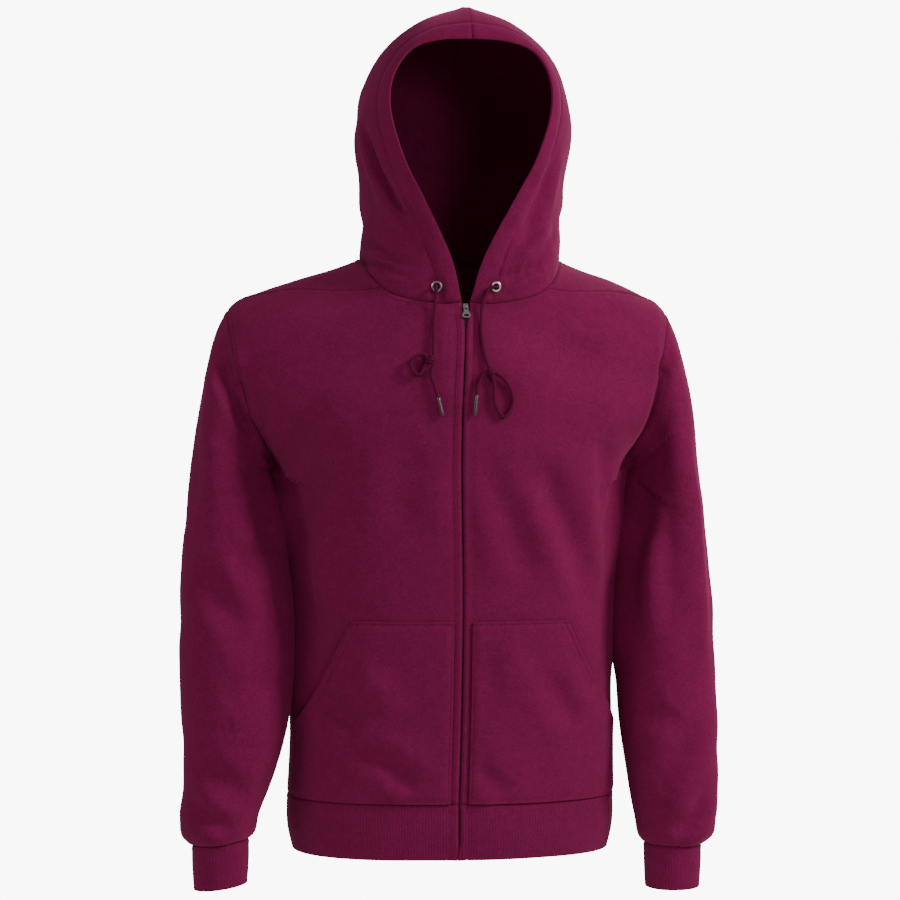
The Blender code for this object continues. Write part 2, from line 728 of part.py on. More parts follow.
def front_line(x, top_z, side):
    """Rows of points down the front at distances x, behind the cloth, from top_z to the
    bottom of the waistband. They lie on the front panel's own rows, and between them."""
    x = np.asarray(x, float)
    panel = trunk(x, front_girths()[:, None], side)
    start = np.array([np.interp(top_z, line[:, 2], line[:, 1]) for line in panel.swapaxes(0, 1)])
    rows = [np.stack([panel[-1, :, 0], start, start * 0 + top_z], -1)]
    rows += [row for row in panel[::-1] if row[0, 2] < top_z - 2 * MM]
    rows = [row + [0, FLEECE + ZIP_AIR, 0] for row in rows[:-1]]
    for shrink, drop in zip(BAND_SHRINK, np.linspace(0, WAISTBAND_HEIGHT, BAND_ROWS + 1)):
        row = panel[0] * [1, shrink, 1]
        rows.append(row + [0, RIB + ZIP_AIR, -drop * ZIP_IN_BAND])
    return np.array(rows)


def strip(name, grid, thickness, colour):
    """A wall of this thickness behind a grid on the front."""
    verts, faces = wall([grid], [grid + [0, thickness, 0]], False)
    return solid(name, verts, faces, colour, 0.8, 0.0)


def zip_tapes_and_chain():
    """The two tapes behind the front edges, and the closed chain between them."""
    for side, hand in ((1, "left"), (-1, "right")):
        tape = front_line([TAPE_INNER_X, TAPE_OUTER_X], TAPE_TOP_Z, side)
        strip("zip_tape_" + hand, tape, TAPE, DARK_MAROON)
    half = front_line([CHAIN_HALF, 0.0], CHAIN_TOP_Z, -1)
    other = front_line([CHAIN_HALF], CHAIN_TOP_Z, 1)
    strip("zip_chain", np.concatenate([half, other], axis=1), CHAIN, DARK_MAROON)


def cut_from(piece, cutter):
    """Cuts cutter's shape out of piece."""
    cut(piece, cutter, "DIFFERENCE")


def join_to(piece, other):
    """Joins other's shape to piece."""
    cut(piece, other, "UNION")


def cut(piece, other, operation):
    """A Boolean of piece with other, which then stays hidden."""
    step = piece.modifiers.new(other.name, "BOOLEAN")
    step.operation = operation
    step.object = other
    other.hide_render = True
    other.display_type = "WIRE"


def prism(name, outline, direction, colour, roughness, metallic):
    """A solid from a closed outline of points, pushed along direction."""
    outline = np.array(outline, float)
    count = len(outline)
    verts = np.vstack([outline, outline + direction])
    index = np.arange(count)
    after = np.roll(index, -1)
    sides = np.stack([index, after, after + count, index + count], -1)
    faces = [list(index), list(index[::-1] + count)] + [list(face) for face in sides]
    return solid(name, verts, faces, colour, roughness, metallic)


def hinge_place():
    """The pull's hinge: in front of the cloth, on the middle line."""
    start = np.array([0.0])
    point = trunk(start, girth_at(start, HINGE_Z), 1)[0]
    return point - [0, HINGE_PROUD, 0]


def at_hinge(shape):
    """Puts a shape that is modelled about the hinge in its place, leaning with the
    chest."""
    shape.location = hinge_place()
    shape.rotation_euler = (-ZIP_SLOPE, 0, 0)
    return shape


def slider():
    """The slider's body behind the cloth, with the crown that its pull hangs in.
    Modelled about the hinge: y runs into the garment."""
    back = HINGE_PROUD + FLEECE + ZIP_AIR / 2
    low, top = SLIDER_UP - SLIDER_LENGTH, SLIDER_UP
    shoulder = SLIDER_UP - SLIDER_LENGTH / 3
    foot = SLIDER_HALF * 0.85
    outline = [
        (-foot, back, low),
        (foot, back, low),
        (SLIDER_HALF, back, shoulder),
        (foot, back, top),
        (-foot, back, top),
        (-SLIDER_HALF, back, shoulder),
    ]
    body = at_hinge(prism("zip_slider", outline, [0, SLIDER_THICK, 0], METAL, 0.3, 1.0))
    root = back + SLIDER_THICK / 2
    high, bottom = CROWN_HALF, -CROWN_HALF
    turn = np.linspace(math.pi / 2, -math.pi / 2, 9)
    arc = [(-CROWN_HALF * math.cos(t), CROWN_HALF * math.sin(t)) for t in turn]
    path = np.array([(root, high)] + arc + [(root, bottom)])
    ahead = unit(np.gradient(path, axis=0))
    side = np.stack([-ahead[:, 1], ahead[:, 0]], -1) * CROWN_STRAP / 2
    loop = np.vstack([path + side, (path - side)[::-1]])
    outline = [(-CROWN_WIDTH / 2, y, z) for y, z in loop]
    crown = prism("crown_to_join", outline, [CROWN_WIDTH, 0, 0], METAL, 0.3, 1.0)
    join_to(body, at_hinge(crown))


def pull():
    """The pull tab, with its origin on its hinge: an eye round the crown's strap, a
    tapered plate and an oval hole."""
    top = PULL_THICK / 2
    base = PULL_LENGTH - PULL_ROUND
    turn = np.linspace(0, math.pi, 9)
    rounded = [(PULL_HALF * math.cos(t), -base - PULL_ROUND * math.sin(t)) for t in turn]
    left = [(PULL_NECK, top), (PULL_NECK, -PULL_EYE)]
    outline = left + rounded + [(-PULL_NECK, -PULL_EYE), (-PULL_NECK, top)]
    flat = [(a, -PULL_THICK / 2, b) for a, b in outline]
    tab = at_hinge(prism("zip_pull", flat, [0, PULL_THICK, 0], METAL, 0.3, 1.0))
    half = CROWN_WIDTH / 2 + SEAM_GAP
    foot = PULL_THICK - PULL_EYE
    slot = [(half, -top), (half, foot), (-half, foot), (-half, -top)]
    turn = np.linspace(0, 2 * math.pi, 20, endpoint=False)
    oval = [(PULL_HALF * 0.6 * math.cos(t), PULL_ROUND * 0.45 * math.sin(t) - base) for t in turn]
    for name, shape in (("slot_to_cut", slot), ("oval_to_cut", oval)):
        outline = [(a, -2 * PULL_THICK, b) for a, b in shape]
        cut_from(tab, at_hinge(prism(name, outline, [0, 4 * PULL_THICK, 0], METAL, 0.3, 1.0)))


# ---------------------------------------------------------------- eyelets and drawcord


def ring_solid(name, profile, centre, axis, colour):
    """A turned ring: profile points (radius, height) round an axis."""
    spin = np.linspace(0, 2 * math.pi, 24, endpoint=False)
    profile = np.array(profile)
    radius, height = profile[:, 0], profile[:, 1]
    local = np.stack(
        [
            np.cos(spin)[:, None] * radius,
            np.sin(spin)[:, None] * radius,
            np.zeros_like(spin)[:, None] + height,
        ],
        -1,
    )
    frame = np.array(Vector(axis).to_track_quat("Z", "Y").to_matrix())
    points = local @ frame.T + centre
    rows, columns = points.shape[:2]
    index = np.arange(rows * columns).reshape(rows, columns)
    down, across = np.roll(index, -1, axis=0), np.roll(index, -1, axis=1)
    faces = np.stack([index, across, np.roll(down, -1, axis=1), down], -1).reshape(-1, 4)
    return solid(name, points.reshape(-1, 3), faces, colour, 0.3, 1.0)


def eyelet_place(hood):
    """The middle of the hood facet that takes the eyelet, and its normal."""
    cell = hood[0:2, 1:3]
    low = cell[0, 0] + (cell[0, 1] - cell[0, 0]) * EYELET_ALONG
    high = cell[1, 0] + (cell[1, 1] - cell[1, 0]) * EYELET_ALONG
    centre = low + (high - low) * EYELET_UP
    out = np.cross(cell[0, 1] - cell[1, 0], cell[1, 1] - cell[0, 0])
    out = unit(out) * np.sign(-out[1])
    return centre, out


def eyelet(hand, hood_panel, hood):
    """A metal eyelet, and the hole that it sits in."""
    centre, out = eyelet_place(hood)
    lift = 2 * SEAM_GAP
    lip = EYELET_LIP + lift
    inside = -(HOOD_CLOTH + lift)
    profile = [
        (EYELET_INNER, inside),
        (EYELET_BARREL, inside),
        (EYELET_BARREL, lift),
        (EYELET_OUTER, lift),
        (EYELET_OUTER, lip - 0.5 * MM),
        (EYELET_OUTER - 0.9 * MM, lip),
        (EYELET_INNER + 0.6 * MM, lip),
        (EYELET_INNER, lip - 0.5 * MM),
    ]
    ring_solid("eyelet_" + hand, profile, centre, out, METAL)
    spin = np.linspace(0, 2 * math.pi, 24, endpoint=False)
    frame = np.array(Vector(out).to_track_quat("Z", "Y").to_matrix())
    radius = EYELET_BARREL + SEAM_GAP
    circle = np.stack([np.cos(spin) * radius, np.sin(spin) * radius, spin * 0 - 0.01], -1)
    circle = circle @ frame.T + centre
    hole = prism("hole_to_cut_" + hand, circle, out * 0.02, METAL, 0.3, 1.0)
    cut_from(hood_panel, hole)


def front_place(x, z, proud):
    """A point this far in front of the front panels' cloth."""
    level = min(z, FLAT_Z)
    across = np.abs([x - LEAN.read(level, "shift")])
    y = trunk(across, girth_at(across, level), 1)[0, 1]
    return np.array([x, y - proud, z])


def fine_curve(points, step):
    """Fine points on a smooth curve through a route's points, and how many places about
    a step apart it holds."""
    points = np.array(points)
    steps = np.linalg.norm(np.diff(points, axis=0), axis=1)
    at = np.concatenate([[0], np.cumsum(steps)])
    fine = smooth(at, points, np.linspace(0, at[-1], 400))
    return fine, max(2, round(at[-1] / step) + 1)


def spaced(fine, count):
    """That many points, spaced evenly by length along a line of fine points."""
    share, even = shares_by_length(fine), np.linspace(0, 1, count)
    return np.stack([np.interp(even, share, fine[:, i]) for i in range(3)], -1)


def clear_of_knot(fine, knot):
    """The points of a line that lie outside the knot's solid, with a gap."""
    reach = np.linalg.norm((fine - knot) / (KNOT_HALF + 2 * SEAM_GAP), axis=1)
    return fine[reach > 1]


def tube(name, points, diameter, colour):
    """A round tube with filled ends along these points."""
    curve = bpy.data.curves.new(name, "CURVE")
    curve.dimensions = "3D"
    curve.bevel_depth = diameter / 2
    curve.bevel_resolution = 2
    curve.use_fill_caps = True
    spline = curve.splines.new("POLY")
    spline.points.add(len(points) - 1)
    spline.points.foreach_set("co", np.c_[points, np.ones(len(points))].ravel())
    curve.materials.append(material(name, colour, 0.8, 0.0))
    bpy.context.collection.objects.link(bpy.data.objects.new(name, curve))


def drawcord(hand, hood):
    """One free end of the drawcord: out of its eyelet, tied in a bow of one loop, and
    down to its aglet."""
    centre, out = eyelet_place(hood)
    route = {run: [front_place(*row) for row in rows] for run, rows in ROUTES[hand].items()}
    knot = route["knot"][0]
    route["cord"] = [centre, centre + out * 1.6 * CORD] + route["cord"] + [knot]
    route["loop"] = [knot] + route["loop"] + [knot]
    route["tail"] = [knot] + route["tail"]
    for run in ("cord", "loop", "tail"):
        fine, count = fine_curve(route[run], CORD_STEP)
        line = spaced(clear_of_knot(fine, knot), count)
        tube(f"{run}_{hand}", line, CORD, DARK_MAROON)
    tube("aglet_" + hand, route["aglet"], AGLET, CLEAR_TIP)
    ball = bmesh.new()
    bmesh.ops.create_icosphere(ball, subdivisions=2, radius=1.0)
    verts = [knot + np.array(v.co) * KNOT_HALF for v in ball.verts]
    faces = [[v.index for v in face.verts] for face in ball.faces]
    ball.free()
    solid("knot_" + hand, verts, faces, DARK_MAROON, 0.9, 0.0)


def main():
    """Builds the whole garment."""
    for old in list(bpy.data.objects):
        bpy.data.objects.remove(old, do_unlink=True)
    pieces = garment()
    share_seams(pieces)
    for piece in pieces:
        made = piece.build()
        if piece.name.startswith("hood_"):
            hand = piece.name.removeprefix("hood_")
            eyelet(hand, made, piece.grids[0])
            drawcord(hand, piece.grids[0])
    pocket("left", 1)
    pocket("right", -1)
    zip_tapes_and_chain()
    slider()
    pull()


main()
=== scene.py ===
"""The looks of a zip up hoodie: cloth with its folds, seams and stitches, metal and cords.

Metres, +Z up, front towards -Y. Every cloth piece is worked out again from the garment's
own sizes on a finer grid, then its folds are pressed in along the normals. A fold is a
line on the cloth, and the whole garment shares one field of them, so a fold runs on
across a seam and the pieces still meet.
"""

import json
import logging
import math
from dataclasses import dataclass
from enum import Enum

import bmesh
import bpy
import numpy as np
from mathutils import Vector
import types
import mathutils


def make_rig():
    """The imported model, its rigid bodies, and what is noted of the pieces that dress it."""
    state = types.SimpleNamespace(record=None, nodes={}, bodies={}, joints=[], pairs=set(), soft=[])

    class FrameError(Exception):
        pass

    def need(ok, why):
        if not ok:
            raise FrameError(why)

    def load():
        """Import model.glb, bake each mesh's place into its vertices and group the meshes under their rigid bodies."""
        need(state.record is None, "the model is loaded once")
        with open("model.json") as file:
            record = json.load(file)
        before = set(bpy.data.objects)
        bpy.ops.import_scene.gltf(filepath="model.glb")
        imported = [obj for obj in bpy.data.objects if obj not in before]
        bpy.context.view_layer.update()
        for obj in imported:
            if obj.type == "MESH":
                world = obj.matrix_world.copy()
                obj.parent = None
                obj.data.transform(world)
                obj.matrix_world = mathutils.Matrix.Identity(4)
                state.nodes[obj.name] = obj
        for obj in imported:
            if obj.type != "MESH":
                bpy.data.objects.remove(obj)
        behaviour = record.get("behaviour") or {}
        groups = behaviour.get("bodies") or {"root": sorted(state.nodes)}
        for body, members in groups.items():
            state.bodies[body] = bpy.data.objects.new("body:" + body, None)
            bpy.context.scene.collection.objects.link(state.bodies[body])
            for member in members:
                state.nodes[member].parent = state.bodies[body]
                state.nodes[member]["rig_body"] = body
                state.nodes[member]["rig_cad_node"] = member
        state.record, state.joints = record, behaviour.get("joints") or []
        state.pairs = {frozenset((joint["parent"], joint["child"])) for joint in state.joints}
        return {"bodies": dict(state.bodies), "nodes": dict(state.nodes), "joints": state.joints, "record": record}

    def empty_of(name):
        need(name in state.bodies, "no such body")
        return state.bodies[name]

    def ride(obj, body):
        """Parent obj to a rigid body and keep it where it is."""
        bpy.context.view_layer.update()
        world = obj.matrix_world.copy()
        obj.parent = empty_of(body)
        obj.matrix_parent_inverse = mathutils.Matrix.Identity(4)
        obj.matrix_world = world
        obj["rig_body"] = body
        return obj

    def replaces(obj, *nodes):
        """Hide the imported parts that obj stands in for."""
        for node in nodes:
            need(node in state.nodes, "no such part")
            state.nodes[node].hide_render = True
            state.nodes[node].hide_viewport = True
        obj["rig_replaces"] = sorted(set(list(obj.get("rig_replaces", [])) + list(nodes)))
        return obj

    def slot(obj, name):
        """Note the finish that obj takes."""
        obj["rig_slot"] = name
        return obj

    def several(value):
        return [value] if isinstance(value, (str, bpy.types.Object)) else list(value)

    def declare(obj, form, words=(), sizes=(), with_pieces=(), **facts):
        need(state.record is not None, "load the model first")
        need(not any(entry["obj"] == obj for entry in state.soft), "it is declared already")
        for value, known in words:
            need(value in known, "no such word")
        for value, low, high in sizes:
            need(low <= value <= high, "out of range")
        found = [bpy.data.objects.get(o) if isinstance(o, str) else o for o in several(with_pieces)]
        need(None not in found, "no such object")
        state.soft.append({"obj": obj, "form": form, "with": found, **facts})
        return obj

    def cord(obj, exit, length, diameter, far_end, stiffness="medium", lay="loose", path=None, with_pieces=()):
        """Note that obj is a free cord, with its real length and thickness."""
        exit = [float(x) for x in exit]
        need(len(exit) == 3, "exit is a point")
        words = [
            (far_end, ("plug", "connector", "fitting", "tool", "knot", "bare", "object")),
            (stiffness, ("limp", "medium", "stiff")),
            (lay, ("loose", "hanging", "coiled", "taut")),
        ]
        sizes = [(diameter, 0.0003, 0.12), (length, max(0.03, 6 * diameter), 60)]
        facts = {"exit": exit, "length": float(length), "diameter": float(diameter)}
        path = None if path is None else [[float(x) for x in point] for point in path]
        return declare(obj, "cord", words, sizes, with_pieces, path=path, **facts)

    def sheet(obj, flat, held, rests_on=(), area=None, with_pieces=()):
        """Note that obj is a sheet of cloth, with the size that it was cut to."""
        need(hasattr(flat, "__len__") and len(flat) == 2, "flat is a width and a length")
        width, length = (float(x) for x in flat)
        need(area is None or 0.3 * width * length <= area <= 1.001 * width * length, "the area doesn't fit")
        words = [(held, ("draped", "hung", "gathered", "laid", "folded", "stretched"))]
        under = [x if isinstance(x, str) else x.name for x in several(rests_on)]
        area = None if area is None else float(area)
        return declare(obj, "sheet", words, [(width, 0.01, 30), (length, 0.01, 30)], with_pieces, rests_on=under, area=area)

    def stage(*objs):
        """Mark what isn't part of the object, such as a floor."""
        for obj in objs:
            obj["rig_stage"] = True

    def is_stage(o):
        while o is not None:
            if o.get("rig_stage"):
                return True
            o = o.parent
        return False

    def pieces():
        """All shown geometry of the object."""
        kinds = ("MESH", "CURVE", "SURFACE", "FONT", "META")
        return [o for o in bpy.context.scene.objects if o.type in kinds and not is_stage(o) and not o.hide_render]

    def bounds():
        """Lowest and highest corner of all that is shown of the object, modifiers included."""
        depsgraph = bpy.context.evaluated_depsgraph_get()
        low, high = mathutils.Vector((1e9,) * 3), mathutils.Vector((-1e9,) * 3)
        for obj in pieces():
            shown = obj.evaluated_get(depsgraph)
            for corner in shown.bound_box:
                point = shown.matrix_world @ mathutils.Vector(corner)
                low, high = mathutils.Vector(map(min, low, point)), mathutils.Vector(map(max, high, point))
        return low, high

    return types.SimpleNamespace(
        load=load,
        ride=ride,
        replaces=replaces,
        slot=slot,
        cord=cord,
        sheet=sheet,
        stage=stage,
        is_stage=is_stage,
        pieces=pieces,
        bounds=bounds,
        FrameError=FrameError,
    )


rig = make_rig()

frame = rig.load()
CAD_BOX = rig.bounds()
LOG = logging.getLogger("hoodie")

MM = 0.001
FINE = 8
FLEECE = 2.0 * MM
RIB = 3.0 * MM
HOOD_CLOTH = 3.0 * MM
SEAM_GAP = 0.3 * MM
SEAM_LAP = 0.04 * MM

WAIST_SEAM_Z = -0.632
WAISTBAND_HEIGHT = 0.065
CUFF_LENGTH = 0.052

WAIST_G = -0.5
ROUND_UP = 0.10
RIDGE_G = ROUND_UP * math.pi / 2
RIDGE_Y = 0.005
SQUARENESS = 2.4
UNDERARM_G = -0.114
NECK_HALF = 0.118
NECK_FRONT_G = -0.005
NECK_BACK_G = 2 * RIDGE_G - 0.064
NECK_EASE = 0.8
SHOULDER_TURN = math.radians(53.6)
SHOULDER_END_G = 0.145
EDGE_HALF = 0.7 * MM
EDGE_HALF_AT_TOP = 4.5 * MM
PARTED_LENGTH = 0.032
SIDE_ROWS = 8
ARM_ROWS = 8
FRONT_NECK_ROWS = 5
BACK_NECK_ROWS = 7
HALF_COLUMNS = 9
HOOD_ROWS = 12
SLEEVE_ROWS = 17
BULGE_RINGS = 5
CROWDED = 2

POCKET_TOP_Z = -0.422
POCKET_SLANT_Z = -0.544
POCKET_INNER_X = 0.0105
POCKET_TOP_X = 0.126
POCKET_REACH = 0.965

CORD = 4.2 * MM
AGLET = 4.8 * MM
FLAT_Z = -0.062


def smooth(knots: np.ndarray, values: np.ndarray, where: np.ndarray) -> np.ndarray:
    """A cubic curve through values at knots, read at each place in where.

    Args:
        knots: Rising places of the known values.
        values: One value, or one row of values, for each knot.
        where: Places to read.

    Returns:
        The values read, in the shape of where.
    """
    knots = np.asarray(knots, float)
    values = np.asarray(values, float)
    where = np.clip(np.asarray(where, float), knots[0], knots[-1])
    slopes = np.gradient(values, knots, axis=0)
    span = np.clip(np.searchsorted(knots, where, side="right") - 1, 0, len(knots) - 2)
    width = knots[span + 1] - knots[span]
    t = (where - knots[span]) / width
    extra = (1,) * (values.ndim - 1)
    t = t.reshape(t.shape + extra)
    width = width.reshape(width.shape + extra)
    return (
        values[span] * (1 - t) ** 2 * (1 + 2 * t)
        + values[span + 1] * t**2 * (3 - 2 * t)
        + slopes[span] * width * t * (1 - t) ** 2
        - slopes[span + 1] * width * t**2 * (1 - t)
    )


def smoothstep(low: float, high: float, value: np.ndarray) -> np.ndarray:
    """0 below low, 1 above high, and an S between them."""
    t = np.clip((value - low) / (high - low), 0, 1)
    return t * t * (3 - 2 * t)


def bell(distance: np.ndarray, reach: float) -> np.ndarray:
    """1 at a distance of 0, falling away on both sides within the reach."""
    return np.exp(-((distance / reach) ** 2))


def unit(vectors: np.ndarray) -> np.ndarray:
    """Vectors of length one."""
    return vectors / np.maximum(np.linalg.norm(vectors, axis=-1, keepdims=True), 1e-12)


def lengths(points: np.ndarray) -> np.ndarray:
    """The distance along a line of points to each of them."""
    steps = np.linalg.norm(np.diff(points, axis=0), axis=-1)
    return np.concatenate([np.zeros((1,) + steps.shape[1:]), np.cumsum(steps, axis=0)])


def shares(points: np.ndarray) -> np.ndarray:
    """How far along a line of points each one is, from 0 to 1."""
    along = lengths(points)
    return along / along[-1]


def read_line(at: np.ndarray, along: np.ndarray, line: np.ndarray) -> np.ndarray:
    """Points of a line at these places along it."""
    return np.stack([np.interp(at, along, line[:, axis]) for axis in range(3)], -1)


def quads(index: np.ndarray) -> np.ndarray:
    """The four-cornered faces of a grid, from the number of each of its points."""
    corners = [index[:-1, :-1], index[:-1, 1:], index[1:, 1:], index[1:, :-1]]
    return np.stack(corners, -1).reshape(-1, 4)


def store(mesh: bpy.types.Mesh, name: str, values: np.ndarray) -> None:
    """Stores one value for each point of the mesh, for its finish to read."""
    stored = mesh.attributes.new(name, "FLOAT", "POINT")
    stored.data.foreach_set("value", values.astype(np.float32))


def linked(name: str, data: bpy.types.ID) -> bpy.types.Object:
    """A new object with this data, in the scene."""
    made = bpy.data.objects.new(name, data)
    bpy.context.collection.objects.link(made)
    return made


class Table:
    """Rows of sizes under named columns. The first column is what they are read by."""

    def __init__(self, names: str, *rows: tuple) -> None:
        """Keeps each column under its name."""
        self.names = names.split()
        self.columns = dict(zip(self.names, np.array(rows, float).T))

    def read(self, where: np.ndarray, name: str) -> np.ndarray:
        """One column at these places, on a smooth curve through its rows."""
        return smooth(self.columns[self.names[0]], self.columns[name], where)


TRUNK = Table(
    "g     half_width front  back",
    (-0.500, 0.1940, 0.116, 0.110),
    (-0.400, 0.1915, 0.124, 0.108),
    (-0.280, 0.1880, 0.131, 0.106),
    (-0.180, 0.1970, 0.142, 0.112),
    (-0.114, 0.2060, 0.146, 0.118),
    (-0.060, 0.2400, 0.139, 0.121),
    (0.000, 0.2720, 0.113, 0.120),
    (0.080, 0.2880, 0.108, 0.117),
    (0.158, 0.3000, 0.105, 0.114),
)
RIDGE = Table(
    "x     z",
    (0.000, 0.052),
    (0.060, 0.036),
    (0.118, 0.003),
    (0.145, -0.008),
    (0.190, -0.0220),
    (0.230, -0.0375),
    (0.252, -0.0480),
    (0.263, -0.0590),
    (0.300, -0.1000),
)
ARMHOLE = Table(
    "g     x",
    (-0.114, 0.2060),
    (-0.080, 0.2215),
    (-0.060, 0.2310),
    (-0.030, 0.2405),
    (0.000, 0.2475),
    (0.050, 0.2560),
    (0.100, 0.2615),
    (0.158, 0.2630),
)
LEAN = Table(
    "z     shift",
    (-0.70, 0.0030),
    (-0.40, 0.0075),
    (-0.20, 0.0050),
    (-0.05, 0.0120),
    (0.10, 0.0160),
    (0.31, 0.0180),
)
HOOD = Table(
    "row  side_x side_y side_z edge_share edge_y edge_z back_y back_z bow",
    (0.0, 0.1180, 0.005, 0.003, 0.035, -0.108, -0.0530, 0.099, 0.012, 1.0),
    (1.0, 0.1180, 0.002, 0.034, 0.150, -0.113, -0.0050, 0.101, 0.048, 1.0),
    (2.0, 0.1205, -0.003, 0.077, 0.380, -0.117, 0.0520, 0.110, 0.092, 1.0),
    (3.0, 0.1265, -0.008, 0.121, 0.590, -0.119, 0.1050, 0.121, 0.138, 1.0),
    (4.0, 0.1290, -0.010, 0.163, 0.720, -0.120, 0.1600, 0.125, 0.180, 1.1),
    (5.0, 0.1200, -0.012, 0.205, 0.760, -0.121, 0.2030, 0.118, 0.218, 1.3),
    (6.0, 0.0970, -0.014, 0.247, 0.740, -0.122, 0.2320, 0.104, 0.247, 1.6),
    (7.0, 0.0540, -0.016, 0.282, 0.720, -0.123, 0.2430, 0.087, 0.269, 1.8),
    (8.0, 0.0000, -0.018, 0.300, 0.720, -0.124, 0.2450, 0.069, 0.282, 1.9),
)
SLEEVE_COLUMNS = "ring outer_x outer_z inner_x inner_z y depth"
LEFT_SLEEVE = Table(
    SLEEVE_COLUMNS,
    (1, 0.2735, -0.080, 0.2225, -0.2490, 0.000, 0.058),
    (2, 0.2870, -0.128, 0.2260, -0.2600, -0.003, 0.060),
    (3, 0.2975, -0.190, 0.2240, -0.2850, -0.008, 0.061),
    (4, 0.3040, -0.250, 0.2180, -0.3150, -0.012, 0.061),
    (5, 0.3110, -0.330, 0.2080, -0.3620, -0.017, 0.060),
    (6, 0.3160, -0.410, 0.2010, -0.4250, -0.023, 0.059),
    (7, 0.3185, -0.490, 0.2005, -0.4950, -0.029, 0.058),
    (8, 0.3200, -0.560, 0.2045, -0.5620, -0.035, 0.055),
    (9, 0.3195, -0.620, 0.2140, -0.6200, -0.040, 0.050),
    (10, 0.3165, -0.660, 0.2210, -0.6600, -0.043, 0.045),
    (11, 0.3090, -0.684, 0.2250, -0.6840, -0.045, 0.040),
    (12, 0.2975, -0.690, 0.2300, -0.6900, -0.045, 0.035),
)
RIGHT_SLEEVE = Table(
    SLEEVE_COLUMNS,
    (1, 0.2735, -0.080, 0.2150, -0.2470, 0.000, 0.058),
    (2, 0.2870, -0.128, 0.2215, -0.2580, -0.003, 0.060),
    (3, 0.2985, -0.190, 0.2150, -0.2850, -0.008, 0.062),
    (4, 0.3065, -0.250, 0.2060, -0.3150, -0.012, 0.063),
    (5, 0.3140, -0.330, 0.1960, -0.3550, -0.018, 0.063),
    (6, 0.3180, -0.410, 0.1900, -0.4200, -0.024, 0.062),
    (7, 0.3180, -0.490, 0.1890, -0.4920, -0.030, 0.060),
    (8, 0.3150, -0.560, 0.1950, -0.5600, -0.036, 0.057),
    (9, 0.3130, -0.620, 0.2120, -0.6160, -0.041, 0.051),
    (10, 0.3165, -0.655, 0.2250, -0.6500, -0.044, 0.045),
    (11, 0.3120, -0.678, 0.2310, -0.6720, -0.046, 0.039),
    (12, 0.3030, -0.685, 0.2370, -0.6770, -0.046, 0.033),
)


# ---------------------------------------------------------------- the garment's form


class Hand(Enum):
    """The wearer's left or right, with its side of the middle."""

    LEFT = 1
    RIGHT = -1

    @property
    def word(self) -> str:
        """The end of a piece's name."""
        return self.name.lower()


class View(Enum):
    """A side to look from, with the two axes that lie across and up that view."""

    FRONT = ((0, -1, 0), (0, 2))
    BACK = ((0, 1, 0), (0, 2))
    LEFT = ((1, 0, 0), (1, 2))
    RIGHT = ((-1, 0, 0), (1, 2))


